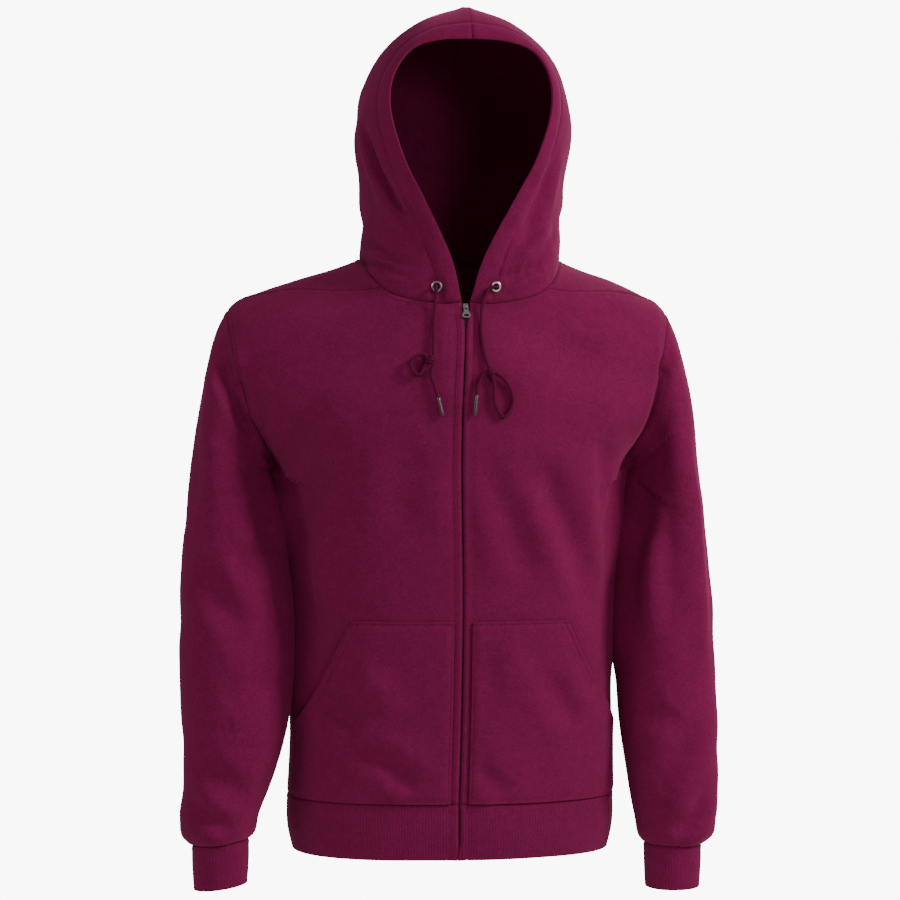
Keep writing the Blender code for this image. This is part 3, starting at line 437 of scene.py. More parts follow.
class Body:
    """The trunk: x is a distance from the middle, and g the girth up from the waist."""

    @staticmethod
    def leaned(points: np.ndarray) -> np.ndarray:
        """Points moved to the wearer's left by LEAN, less and less towards the shoulders."""
        points = np.array(points, float)
        fade = 1 - smoothstep(0.16, 0.27, np.abs(points[..., 0]))
        points[..., 0] += LEAN.read(points[..., 2], "shift") * fade
        return points

    @staticmethod
    def level(g: np.ndarray) -> np.ndarray:
        """The girth of the place in front that is as high as this one."""
        return np.where(g > RIDGE_G, 2 * RIDGE_G - g, g)

    @classmethod
    def place(cls, x: np.ndarray, g: np.ndarray, side: int) -> np.ndarray:
        """Points of the trunk. A level section is a superellipse, y = depth times
        (1 - (x / half width)^n)^(1/n). Above g = 0 the depth shrinks as the cosine of the
        turn over the shoulder, and the height grows as its sine.

        Args:
            x: Distances from the middle.
            g: Girths.
            side: 1 for the wearer's left, -1 for the right.

        Returns:
            The points.
        """
        x, g = np.broadcast_arrays(np.asarray(x, float), np.asarray(g, float))
        behind = g > RIDGE_G
        level = cls.level(g)
        turn = np.clip(level, 0, RIDGE_G) / ROUND_UP
        across = np.clip(x / TRUNK.read(level, "half_width"), 0, 1)
        across = (1 - across**SQUARENESS) ** (1 / SQUARENESS)
        depth = np.where(behind, TRUNK.read(level, "back"), -TRUNK.read(level, "front"))
        start = RIDGE.read(x, "z") - ROUND_UP
        below = np.minimum(level, 0) * (start - WAIST_SEAM_Z) / -WAIST_G
        z = start + below + ROUND_UP * np.sin(turn)
        y = RIDGE_Y + depth * across * np.cos(turn)
        return cls.leaned(np.stack([side * x, y, z], -1))

    @staticmethod
    def girth(x: np.ndarray, z: np.ndarray) -> np.ndarray:
        """The g of a place below the chest's rounding."""
        start = RIDGE.read(x, "z") - ROUND_UP
        return (z - start) * -WAIST_G / (start - WAIST_SEAM_Z)

    @staticmethod
    def neck(turn: np.ndarray) -> tuple:
        """x and g of the neck seam. turn runs from 0 in front to pi behind."""
        half = NECK_HALF - EDGE_HALF_AT_TOP * (turn < math.pi / 2)
        x = EDGE_HALF_AT_TOP * (turn < math.pi / 2) + half * np.sin(turn)
        reach = np.where(turn < math.pi / 2, RIDGE_G - NECK_FRONT_G, RIDGE_G - NECK_BACK_G)
        return x, RIDGE_G - reach * np.abs(np.cos(turn)) ** NECK_EASE

    @classmethod
    def armhole(cls, g: np.ndarray) -> tuple:
        """x and g of the armhole seam."""
        return ARMHOLE.read(cls.level(g), "x"), g

    @classmethod
    def side_seam(cls, g: np.ndarray) -> tuple:
        """x and g of the side seam."""
        return TRUNK.read(cls.level(g), "half_width"), g

    @staticmethod
    def front_edge(g: np.ndarray) -> tuple:
        """x and g of the front opening, whose edges part just below the neck."""
        share = smoothstep(NECK_FRONT_G - PARTED_LENGTH, NECK_FRONT_G, g)
        return EDGE_HALF + (EDGE_HALF_AT_TOP - EDGE_HALF) * share, g

    @classmethod
    def evenly(cls, seam, start: float, end: float, count: int) -> tuple:
        """x and g at count + 1 places, spaced evenly by length along a seam."""
        fine = np.linspace(start, end, 961)
        along = shares(cls.place(*seam(fine), 1))
        return seam(np.interp(np.linspace(0, 1, count + 1), along, fine))

    @classmethod
    def half(cls, inner: tuple, outer: tuple, side: int) -> np.ndarray:
        """A grid between an inner run of (x, g) and an outer one. Its columns follow the
        sine of a sweep, so they crowd towards the side seam."""
        rows = len(inner[0])
        sweep = np.full(rows, math.pi / 2)
        start = SIDE_ROWS * FINE
        sweep[start:] = np.linspace(math.pi / 2, math.radians(35), rows - start)
        s = np.linspace(0, 1, HALF_COLUMNS * FINE + 1)
        share = np.sin(s * sweep[:, None]) / np.sin(sweep)[:, None]
        x = inner[0][:, None] + (outer[0] - inner[0])[:, None] * share
        g = inner[1][:, None] + (outer[1] - inner[1])[:, None] * s
        return cls.place(x, g, side)

    @classmethod
    def front(cls, side: int) -> np.ndarray:
        """The front panel's grid: rows up, columns from the zip to the side."""
        rows = SIDE_ROWS + ARM_ROWS - FRONT_NECK_ROWS
        parting = NECK_FRONT_G - PARTED_LENGTH
        low = np.linspace(WAIST_G, parting, (rows - 2) * FINE + 1)
        high = np.linspace(parting, NECK_FRONT_G, 2 * FINE + 1)[1:]
        edge = cls.front_edge(np.append(low, high))
        neck = cls.evenly(cls.neck, 0, SHOULDER_TURN, FRONT_NECK_ROWS * FINE)
        return cls.half(joined(edge, neck), cls.outer(1), side)

    @classmethod
    def back(cls, side: int) -> np.ndarray:
        """Half of the back's grid: rows up, columns from the middle to the side."""
        hem = 2 * RIDGE_G - WAIST_G
        rows = SIDE_ROWS + ARM_ROWS - BACK_NECK_ROWS
        middle = np.linspace(hem, NECK_BACK_G, rows * FINE + 1)
        neck = cls.evenly(cls.neck, math.pi, SHOULDER_TURN, BACK_NECK_ROWS * FINE)
        return cls.half(joined((middle * 0, middle), neck), cls.outer(-1), side)

    @classmethod
    def outer(cls, facing: int) -> tuple:
        """The side seam and armhole of the front (facing 1) or the back (facing -1)."""
        hem, arm = (WAIST_G, UNDERARM_G)
        if facing < 0:
            hem, arm = 2 * RIDGE_G - WAIST_G, 2 * RIDGE_G - UNDERARM_G
        seam = cls.side_seam(np.linspace(hem, arm, SIDE_ROWS * FINE + 1))
        return joined(seam, cls.evenly(cls.armhole, arm, SHOULDER_END_G, ARM_ROWS * FINE))


def joined(first: tuple, second: tuple) -> tuple:
    """Two runs of (x, g) as one, with the place they share kept once."""
    return tuple(np.concatenate([a, b[1:]]) for a, b in zip(first, second))


def crowd(grid: np.ndarray, rows: bool = True, columns: bool = True) -> np.ndarray:
    """The grid with two more lines of points close to each edge, where seams dip."""
    for axis, wanted in ((0, rows), (1, columns)):
        if not wanted:
            continue
        last = grid.shape[axis] - 1
        inner = np.arange(1, last)
        at = np.concatenate([[0, 0.28, 0.62], inner, [last - 0.62, last - 0.28, last]])
        low = np.minimum(at.astype(int), last - 1)
        share = at - low
        shape = [1] * grid.ndim
        shape[axis] = -1
        share = share.reshape(shape)
        first, second = np.take(grid, low, axis=axis), np.take(grid, low + 1, axis=axis)
        grid = first * (1 - share) + second * share
    return grid


class Hood:
    """The hood: rows climb from the neck seam to the centre seam over the crown."""

    @staticmethod
    def row(number: float, count: int) -> np.ndarray:
        """Points along one row on side 1, from the face edge to the back. x is the side's x
        times the sine of a turn, y follows its cosine, and z does too, bent by a bow."""
        size = {name: HOOD.read(number, name) for name in HOOD.names[1:]}
        first = math.asin(float(size["edge_share"]))
        turn = np.linspace(first, math.pi, count)
        before = np.clip(np.cos(turn) / math.cos(first), 0, 1)
        after = np.clip(-np.cos(turn), 0, 1)
        bow = float(size["bow"])
        rise_before = 1 - (1 - before**bow) ** (1 / bow)
        rise_after = 1 - (1 - after**bow) ** (1 / bow)
        y = size["side_y"] + (size["edge_y"] - size["side_y"]) * before
        y = y + (size["back_y"] - size["side_y"]) * after
        z = size["side_z"] + (size["edge_z"] - size["side_z"]) * rise_before
        z = z + (size["back_z"] - size["side_z"]) * rise_after
        return np.stack([size["side_x"] * np.sin(turn), y, z], -1)

    @classmethod
    def half(cls, neck: np.ndarray, flat: np.ndarray, side: int) -> np.ndarray:
        """One half: rows up from the neck seam's points, columns from the face back. flat
        is the same seam on side 1, before it leans."""
        along = shares(flat)
        places = np.linspace(0, 8, HOOD_ROWS * FINE + 1)
        grid = []
        for number in places:
            line = cls.row(number, 961)
            grid.append(read_line(along, shares(line), line))
        grid = np.array(grid)
        fit = 1 - smoothstep(0, 1, places / 2.5)
        grid = grid + (flat - grid[0]) * fit[:, None, None]
        grid[..., 0] *= side
        grid = Body.leaned(grid)
        grid[0] = neck
        return grid


class Sleeve:
    """A sleeve: rings from the armhole down to the cuff."""

    @staticmethod
    def ring(size: Table, number: float, turn: np.ndarray, side: int) -> np.ndarray:
        """Points round one ring, an ellipse on its outer and inner ends. turn 0 is the
        inner end, and pi / 2 the front."""
        outer = [size.read(number, "outer_x"), size.read(number, "outer_z")]
        inner = [size.read(number, "inner_x"), size.read(number, "inner_z")]
        middle, half = np.add(outer, inner) / 2, np.subtract(inner, outer) / 2
        x = middle[0] + half[0] * np.cos(turn)
        z = middle[1] + half[1] * np.cos(turn)
        y = size.read(number, "y") - size.read(number, "depth") * np.sin(turn)
        return np.stack([side * x, y, z], -1)

    @classmethod
    def grid(cls, loop: np.ndarray, size: Table, side: int) -> np.ndarray:
        """Rows down from the armhole's points, columns round."""
        turn = 2 * math.pi * shares(np.vstack([loop, loop[:1]]))[:-1]
        middle = (loop[0] + loop[len(loop) // 2]) / 2
        depth = np.ptp(loop[:, 1]) / 2
        plain = middle + np.cos(turn)[:, None] * (loop[0] - middle)
        plain[:, 1] -= depth * np.sin(turn)
        bulge = loop - plain
        rings = [loop]
        for number in size.columns["ring"]:
            kept = max(0.0, 1 - number / BULGE_RINGS)
            rings.append(cls.ring(size, number, turn, side) + bulge * kept)
        rings = np.array(rings)
        steps = np.linalg.norm(np.diff(rings, axis=0), axis=2).mean(axis=1)
        at = np.concatenate([[0], np.cumsum(steps)])
        return smooth(at, rings, np.linspace(0, at[-1], SLEEVE_ROWS * FINE + 1))


# ---------------------------------------------------------------- folds


@dataclass(frozen=True)
class Fold:
    """A soft trough in the cloth, or a ridge if depth is below 0.

    Attributes:
        piece: The start of the names of the pieces whose surface it is laid on.
        view: The side that its places are seen from.
        places: Start, middle and end, across and up in that view.
        width: Half the trough's width, where its slope is steepest.
        depth: How far its middle is pressed in.
    """

    piece: str
    view: View
    places: tuple
    width: float
    depth: float

    def line(self, count: int = 18) -> np.ndarray:
        """Places along it, on the parabola through start, middle and end."""
        start, middle, end = np.array(self.places, float)
        t = np.linspace(0, 1, count)[:, None]
        bend = 2 * middle - (start + end) / 2
        return start * (1 - t) ** 2 + 2 * bend * t * (1 - t) + end * t**2


def laid_out(piece: str, view: View, *rows: tuple) -> list:
    """Folds of one piece in one view. A row holds the start, the middle and the end, each
    across and up, then the width and the depth."""
    return [
        Fold(piece, view, (row[0:2], row[2:4], row[4:6]), row[6], row[7]) for row in rows
    ]


FOLDS = (
    # Front, the wearer's left
    *laid_out("front_left", View.FRONT,
              (0.066, -0.225, 0.128, -0.312, 0.166, -0.440, 0.021, 0.0077),
              (0.028, -0.228, 0.062, -0.305, 0.098, -0.400, 0.022, 0.0054),
              (0.134, -0.084, 0.165, -0.068, 0.212, -0.058, 0.013, 0.0042),
              (0.170, -0.200, 0.176, -0.255, 0.178, -0.330, 0.016, 0.0042),
              (0.096, -0.480, 0.122, -0.516, 0.146, -0.556, 0.016, 0.0048),
              (0.018, -0.580, 0.040, -0.606, 0.070, -0.630, 0.013, 0.0033),
              (0.045, -0.430, 0.066, -0.478, 0.088, -0.526, 0.021, -0.0030),
    ),
    # Front, the wearer's right
    *laid_out("front_right", View.FRONT,
              (-0.040, -0.215, -0.062, -0.270, -0.072, -0.330, 0.026, 0.0042),
              (-0.142, -0.250, -0.156, -0.345, -0.150, -0.440, 0.016, -0.0042),
              (-0.150, -0.150, -0.172, -0.215, -0.165, -0.280, 0.021, 0.0042),
              (-0.160, -0.505, -0.134, -0.524, -0.104, -0.550, 0.013, 0.0065),
              (-0.130, -0.568, -0.078, -0.584, -0.036, -0.626, 0.013, 0.0062),
              (-0.120, -0.470, -0.090, -0.500, -0.070, -0.545, 0.018, -0.0030),
    ),
    # The body's sides and the sleeves' inner sides, which hang against each other
    *laid_out("front_left", View.LEFT,
              (0.0, -0.200, 0.0, -0.275, 0.0, -0.370, 0.030, -0.0110),
              (0.0, -0.290, 0.0, -0.400, 0.0, -0.530, 0.030, -0.0045),
    ),
    *laid_out("sleeve_left", View.RIGHT,
              (-0.004, -0.225, -0.010, -0.285, -0.016, -0.370, 0.028, -0.0120),
              (-0.010, -0.290, -0.020, -0.400, -0.032, -0.510, 0.028, -0.0075),
    ),
    *laid_out("front_right", View.RIGHT,
              (0.0, -0.200, 0.0, -0.275, 0.0, -0.370, 0.030, -0.0120),
              (0.0, -0.290, 0.0, -0.430, 0.0, -0.580, 0.030, -0.0040),
    ),
    *laid_out("sleeve_right", View.LEFT,
              (-0.004, -0.225, -0.010, -0.285, -0.016, -0.370, 0.028, -0.0120),
              (-0.010, -0.290, -0.024, -0.430, -0.036, -0.590, 0.028, -0.0055),
    ),
    # Armholes
    *laid_out("sleeve_right", View.FRONT,
              (-0.266, -0.090, -0.256, -0.160, -0.216, -0.238, 0.010, 0.0091),
    ),
    *laid_out("sleeve_left", View.FRONT,
              (0.252, -0.066, 0.236, -0.140, 0.222, -0.225, 0.009, 0.0032),
              (0.236, -0.142, 0.254, -0.124, 0.274, -0.108, 0.008, 0.0032),
    ),
    *laid_out("front_right", View.FRONT,
              (-0.252, -0.120, -0.230, -0.175, -0.212, -0.225, 0.013, 0.0048),
    ),
    # The wearer's right sleeve
    *laid_out("sleeve_right", View.FRONT,
              (-0.278, -0.110, -0.283, -0.210, -0.276, -0.320, 0.016, -0.0030),
              (-0.300, -0.345, -0.270, -0.400, -0.232, -0.450, 0.018, 0.0055),
              (-0.208, -0.330, -0.236, -0.350, -0.262, -0.352, 0.016, 0.0045),
              (-0.206, -0.470, -0.240, -0.500, -0.275, -0.508, 0.018, 0.0040),
              (-0.298, -0.575, -0.262, -0.610, -0.226, -0.628, 0.016, 0.0048),
              (-0.306, -0.630, -0.280, -0.650, -0.246, -0.662, 0.012, 0.0050),
    ),
    *laid_out("sleeve_right", View.RIGHT,
              (0.030, -0.250, -0.005, -0.300, -0.045, -0.325, 0.022, 0.0011),
              (-0.070, -0.395, -0.030, -0.425, 0.015, -0.430, 0.019, 0.0011),
              (-0.080, -0.540, -0.045, -0.565, 0.000, -0.570, 0.018, 0.0010),
    ),
    *laid_out("sleeve_right", View.BACK,
              (-0.235, -0.300, -0.265, -0.345, -0.300, -0.360, 0.014, 0.0057),
              (-0.222, -0.400, -0.250, -0.425, -0.295, -0.420, 0.013, 0.0055),
              (-0.230, -0.560, -0.262, -0.585, -0.298, -0.590, 0.012, 0.0048),
              (-0.242, -0.640, -0.270, -0.655, -0.300, -0.648, 0.009, 0.0046),
    ),
    # The wearer's left sleeve
    *laid_out("sleeve_left", View.FRONT,
              (0.281, -0.190, 0.294, -0.350, 0.296, -0.520, 0.013, -0.0030),
              (0.250, -0.225, 0.258, -0.345, 0.262, -0.455, 0.018, 0.0055),
              (0.236, -0.300, 0.230, -0.385, 0.236, -0.470, 0.014, -0.0030),
              (0.292, -0.530, 0.258, -0.595, 0.224, -0.640, 0.017, 0.0053),
              (0.300, -0.622, 0.280, -0.655, 0.250, -0.676, 0.012, 0.0050),
              (0.214, -0.520, 0.244, -0.540, 0.272, -0.536, 0.016, 0.0035),
    ),
    *laid_out("sleeve_left", View.LEFT,
              (0.035, -0.270, 0.000, -0.310, -0.040, -0.320, 0.019, 0.0011),
              (0.030, -0.400, -0.020, -0.440, -0.070, -0.445, 0.022, 0.0011),
              (0.005, -0.550, -0.040, -0.580, -0.085, -0.570, 0.018, 0.0010),
    ),
    *laid_out("sleeve_left", View.BACK,
              (0.240, -0.290, 0.270, -0.330, 0.302, -0.335, 0.013, 0.0057),
              (0.226, -0.390, 0.262, -0.430, 0.305, -0.435, 0.014, 0.0052),
              (0.228, -0.520, 0.260, -0.545, 0.300, -0.540, 0.013, 0.0046),
              (0.238, -0.640, 0.268, -0.660, 0.298, -0.652, 0.009, 0.0048),
    ),
    # Back
    *laid_out("back", View.BACK,
              (-0.165, -0.140, -0.085, -0.225, -0.035, -0.345, 0.022, 0.0052),
              (0.172, -0.130, 0.105, -0.230, 0.050, -0.330, 0.020, 0.0048),
              (-0.165, -0.400, -0.060, -0.462, 0.075, -0.462, 0.016, 0.0055),
              (0.172, -0.470, 0.075, -0.532, -0.045, -0.536, 0.015, 0.0052),
              (-0.150, -0.560, -0.040, -0.596, 0.100, -0.590, 0.012, 0.0044),
              (0.190, -0.240, 0.176, -0.330, 0.150, -0.420, 0.014, 0.0052),
              (-0.180, -0.250, -0.168, -0.320, -0.140, -0.390, 0.013, 0.0048),
              (-0.060, -0.035, 0.010, -0.075, 0.085, -0.040, 0.014, 0.0040),
    ),
    # Hood
    *laid_out("hood_right", View.FRONT,
              (-0.103, 0.165, -0.084, 0.088, -0.036, 0.014, 0.009, 0.0098),
              (-0.112, 0.004, -0.087, -0.013, -0.046, -0.028, 0.005, 0.0041),
              (-0.114, 0.026, -0.082, 0.002, -0.042, -0.016, 0.006, 0.0039),
    ),
    *laid_out("hood_left", View.FRONT,
              (0.123, 0.130, 0.098, 0.060, 0.070, 0.012, 0.012, 0.0069),
              (0.118, 0.042, 0.092, 0.010, 0.064, -0.012, 0.007, -0.0046),
              (0.112, 0.000, 0.078, -0.020, 0.050, -0.036, 0.007, 0.0052),
    ),
    *laid_out("hood_left", View.LEFT,
              (-0.085, 0.215, -0.010, 0.165, 0.070, 0.120, 0.020, 0.0023),
              (-0.060, 0.060, 0.010, 0.042, 0.075, 0.050, 0.015, 0.0025),
              (-0.040, 0.125, 0.020, 0.085, 0.085, 0.085, 0.018, 0.0019),
    ),
    *laid_out("hood_right", View.RIGHT,
              (-0.080, 0.200, 0.000, 0.160, 0.080, 0.135, 0.020, 0.0023),
              (-0.055, 0.070, 0.020, 0.038, 0.080, 0.056, 0.015, 0.0025),
              (-0.020, 0.120, 0.035, 0.095, 0.090, 0.100, 0.016, 0.0018),
    ),
    *laid_out("hood", View.BACK,
              (-0.070, 0.075, 0.010, 0.045, 0.090, 0.070, 0.013, 0.0052),
              (-0.060, 0.130, 0.015, 0.110, 0.080, 0.135, 0.014, 0.0034),
    ),
)


class FoldField:
    """All the folds, laid on the cloth, with a slow unevenness over everything."""

    WAVES = 16
    SWELL = 0.55 * MM

    def __init__(self, pieces: list) -> None:
        """Finds each fold's line on the surface of its pieces.

        Args:
            pieces: The cloth pieces, before any fold is pressed in.
        """
        rng = np.random.default_rng(7)
        self.direction = unit(rng.normal(size=(self.WAVES, 3)))
        self.pitch = 2 * math.pi / rng.uniform(0.07, 0.20, self.WAVES)
        self.phase = rng.uniform(0, 2 * math.pi, self.WAVES)
        self.lines = [(fold, self.laid(fold, pieces)) for fold in FOLDS]

    @staticmethod
    def laid(fold: Fold, pieces: list) -> np.ndarray:
        """The fold's line in space: each place goes to the nearest point that faces the
        view."""
        facing, axes = fold.view.value
        own = [panel for p in pieces if p.name.startswith(fold.piece) for panel in p.panels]
        points = np.vstack([panel.grid.reshape(-1, 3) for panel in own])
        normals = np.vstack([panel.normals.reshape(-1, 3) for panel in own])
        points = points[normals @ np.array(facing, float) > 0.1]
        away = points[None][:, :, list(axes)] - fold.line()[:, None]
        return points[np.argmin((away**2).sum(-1), axis=1)]

    def rise(self, points: np.ndarray) -> np.ndarray:
        """How far each point moves out. A fold gives -depth (1 - u^2) e^(-u^2 / 2), where u
        is the distance over the width, and it fades towards both ends. The swell is a sum
        of sines.

        Args:
            points: Points on the cloth, in rows.

        Returns:
            One height for each point.
        """
        waves = np.sin(points @ (self.direction * self.pitch[:, None]).T + self.phase)
        out = waves.sum(axis=1) * self.SWELL / math.sqrt(self.WAVES / 2)
        for fold, line in self.lines:
            reach = 3.2 * fold.width
            near = np.all((points > line.min(0) - reach) & (points < line.max(0) + reach), axis=1)
            if not near.any():
                continue
            own = points[near]
            start, step = line[:-1], np.diff(line, axis=0)
            size = np.maximum((step**2).sum(-1), 1e-12)
            t = np.einsum("psc,sc->ps", own[:, None] - start, step) / size
            t = np.clip(t, 0, 1)
            away = np.linalg.norm(own[:, None] - start - t[..., None] * step, axis=-1)
            best = np.argmin(away, axis=1)
            row = np.arange(len(own))
            along = (best + t[row, best]) / len(step)
            fade = smoothstep(0, 0.34, along) * smoothstep(0, 0.34, 1 - along)
            u = away[row, best] / fold.width
            out[near] -= fold.depth * (1 - u**2) * np.exp(-(u**2) / 2) * fade
        return out


# ---------------------------------------------------------------- cloth


class Edge(Enum):
    """An edge of a piece's grid."""

    FIRST_ROW = 0
    LAST_ROW = 1
    FIRST_COLUMN = 2
    LAST_COLUMN = 3


@dataclass
class Panel:
    """One grid of points on the outside of a cut piece.

    Attributes:
        grid: Rows and columns of points.
        centre: A point inside, which normals point away from.
        seams: Edges that are sewn to another piece.
        stitches: Pairs of an edge and a distance from it, where a line is sewn.
        closed: True on a tube, whose first column is then its own seam.
        hem: How far a turned hem reaches in from the first column.
        joined_rows: Rows of the first column that run on into the piece's other panel.
    """

    grid: np.ndarray
    centre: np.ndarray
    seams: tuple = ()
    stitches: tuple = ()
    closed: bool = False
    hem: float = 0.0
    joined_rows: int = 0

    SEAM_DIP = 0.9 * MM
    SEAM_REACH = 1.6 * MM
    WELT = 0.5 * MM
    WELT_MIDDLE = 4.5 * MM
    WELT_REACH = 2.5 * MM
    PLACKET = 9.5 * MM
    PLACKET_TOP_Z = -0.050
    PLACKET_FULL_Z = -0.075
    PLACKET_DIP = 1.3 * MM
    PLACKET_DIP_REACH = 1.7 * MM
    PLACKET_FULLNESS = 0.7 * MM
    PLACKET_FULL_REACH = 3.2 * MM
    ZIPPED_BELOW_Z = -0.03
    ZIP_STILL = 0.006
    ZIP_FREE = 0.030
    EYELET_PRESS = 1.1 * MM
    EYELET_EDGE = 0.0065
    EYELET_PRESS_END = 0.012
    EYELET_STILL = 0.007
    EYELET_FREE = 0.018
    HEM_FULLNESS = 1.6 * MM
    HEM_DIP = 1.2 * MM
    HEM_DIP_REACH = 2.2 * MM
    HEM_START = 10 * MM
    HEM_STILL = 0.006
    HEM_FREE = 0.012

    def __post_init__(self) -> None:
        """Works out the normals, and the distance of each point from each edge."""
        self.normals = self.turned_out()
        grid = self.grid
        if self.closed:
            grid = np.concatenate([grid, grid[:, :1]], axis=1)
        across = lengths(grid.swapaxes(0, 1)).T
        round_ = across[:, -1:]
        self.across = across[:, :-1] if self.closed else across
        self.down = lengths(self.grid)
        first = self.across
        if self.closed:
            first = np.minimum(first, round_ - first)
        if self.joined_rows:
            below = np.maximum(self.down[self.joined_rows] - self.down, 0)
            first = np.hypot(first, below)
        self.from_edge = {
            Edge.FIRST_ROW: self.down,
            Edge.LAST_ROW: self.down[-1] - self.down,
            Edge.FIRST_COLUMN: first,
            Edge.LAST_COLUMN: round_ - self.across,
        }
        self.cut_area = self.area()

    def turned_out(self) -> np.ndarray:
        """Each point's normal, from its neighbours along the rows and columns."""
        grid = self.grid
        if self.closed:
            wide = np.concatenate([grid[:, -1:], grid, grid[:, :1]], axis=1)
            across = np.gradient(wide, axis=1)[:, 1:-1]
        else:
            across = np.gradient(grid, axis=1)
        normals = unit(np.cross(across, np.gradient(grid, axis=0)))
        out = np.sum(normals * (grid - self.centre), axis=-1).sum()
        return normals if out > 0 else -normals

    def nearest(self, lines: tuple) -> tuple:
        """Distance to the nearest of these lines, and the place along it.

        Args:
            lines: Pairs of an edge and a distance from it.

        Returns:
            Two arrays in the grid's shape, both in metres.
        """
        best = np.full(self.grid.shape[:2], 1.0)
        along = np.zeros(self.grid.shape[:2])
        for edge, offset in lines:
            away = np.abs(self.from_edge[edge] - offset)
            closer = away < best
            run = self.across if edge in (Edge.FIRST_ROW, Edge.LAST_ROW) else self.down
            along = np.where(closer, run, along)
            best = np.where(closer, away, best)
        return best, along

    def seam_distance(self) -> np.ndarray:
        """Distance of each point from the nearest seam."""
        return self.nearest(tuple((edge, 0.0) for edge in self.seams))[0]

    def rise(self, field: FoldField, held: np.ndarray) -> np.ndarray:
        """How far each point moves out: folds and swell, the dip and welt at a seam, and
        the fullness of a hem.

        Args:
            field: The garment's folds.
            held: Points that hold the cloth in place round them: the eyelets.

        Returns:
            Heights in the grid's shape.
        """
        rise = field.rise(self.grid.reshape(-1, 3)).reshape(self.grid.shape[:2])
        off_middle = np.abs(self.grid[..., 0] - LEAN.read(self.grid[..., 2], "shift"))
        zipped = (self.grid[..., 1] < 0) & (self.grid[..., 2] < self.ZIPPED_BELOW_Z)
        free = smoothstep(self.ZIP_STILL, self.ZIP_FREE, off_middle)
        rise = rise * np.where(zipped, free, 1)
        height = self.grid[..., 2]
        placket = zipped * smoothstep(self.PLACKET_TOP_Z, self.PLACKET_FULL_Z, height)
        line = bell(off_middle - self.PLACKET, self.PLACKET_DIP_REACH)
        full = bell(off_middle - self.PLACKET / 2, self.PLACKET_FULL_REACH)
        full = self.PLACKET_FULLNESS * full
        rise = rise + placket * (full - self.PLACKET_DIP * line)
        away = np.linalg.norm(self.grid[:, :, None] - held, axis=-1).min(axis=-1)
        rise = rise * smoothstep(self.EYELET_STILL, self.EYELET_FREE, away)
        beyond = smoothstep(self.EYELET_EDGE, self.EYELET_PRESS_END, away)
        rise -= self.EYELET_PRESS * (1 - beyond)
        seam = self.seam_distance()
        rise -= self.SEAM_DIP * bell(seam, self.SEAM_REACH)
        rise += self.WELT * bell(seam - self.WELT_MIDDLE, self.WELT_REACH)
        if self.hem:
            rise += self.hem_rise(away)
        return rise

    def hem_rise(self, away: np.ndarray) -> np.ndarray:
        """The fullness of the hem and the dip where it is sewn. away is the distance from
        the nearest eyelet."""
        inward = self.from_edge[Edge.FIRST_COLUMN]
        inside = np.clip(inward / self.hem, 0, 1)
        full = self.HEM_FULLNESS * np.sin(math.pi * inside) ** 0.7 * (inside < 1)
        full -= self.HEM_DIP * bell(inward - self.hem, self.HEM_DIP_REACH)
        start = smoothstep(0, self.HEM_START, self.down)
        return full * start * smoothstep(self.HEM_STILL, self.HEM_FREE, away)

    def move(self, rise: np.ndarray) -> None:
        """Moves each point out along its normal."""
        self.grid = self.grid + self.normals * rise[..., None]
        self.normals = self.turned_out()

    def trimmed(self, grid: np.ndarray) -> np.ndarray:
        """The grid with its outer lines let out, so that no light comes through a seam."""
        out = grid.copy()
        out[0] -= unit(grid[1] - grid[0]) * SEAM_LAP
        out[-1] -= unit(grid[-2] - grid[-1]) * SEAM_LAP
        if not self.closed:
            out[:, -1] -= unit(grid[:, -2] - grid[:, -1]) * SEAM_LAP
            outward = unit(grid[:, 0] - grid[:, 1]) * SEAM_LAP
            start = self.joined_rows + 1 if self.joined_rows else 0
            out[start:, 0] += outward[start:]
        return out

    def faces(self) -> np.ndarray:
        """Four-cornered faces, as places in the flattened grid."""
        rows, columns = self.grid.shape[:2]
        index = np.arange(rows * columns).reshape(rows, columns)
        if self.closed:
            index = np.concatenate([index, index[:, :1]], axis=1)
        return quads(index)

    def area(self) -> float:
        """The area of the grid's facets."""
        corners = self.grid.reshape(-1, 3)[self.faces()]
        across, down = corners[:, 2] - corners[:, 0], corners[:, 3] - corners[:, 1]
        return float(np.linalg.norm(np.cross(across, down), axis=-1).sum() / 2)


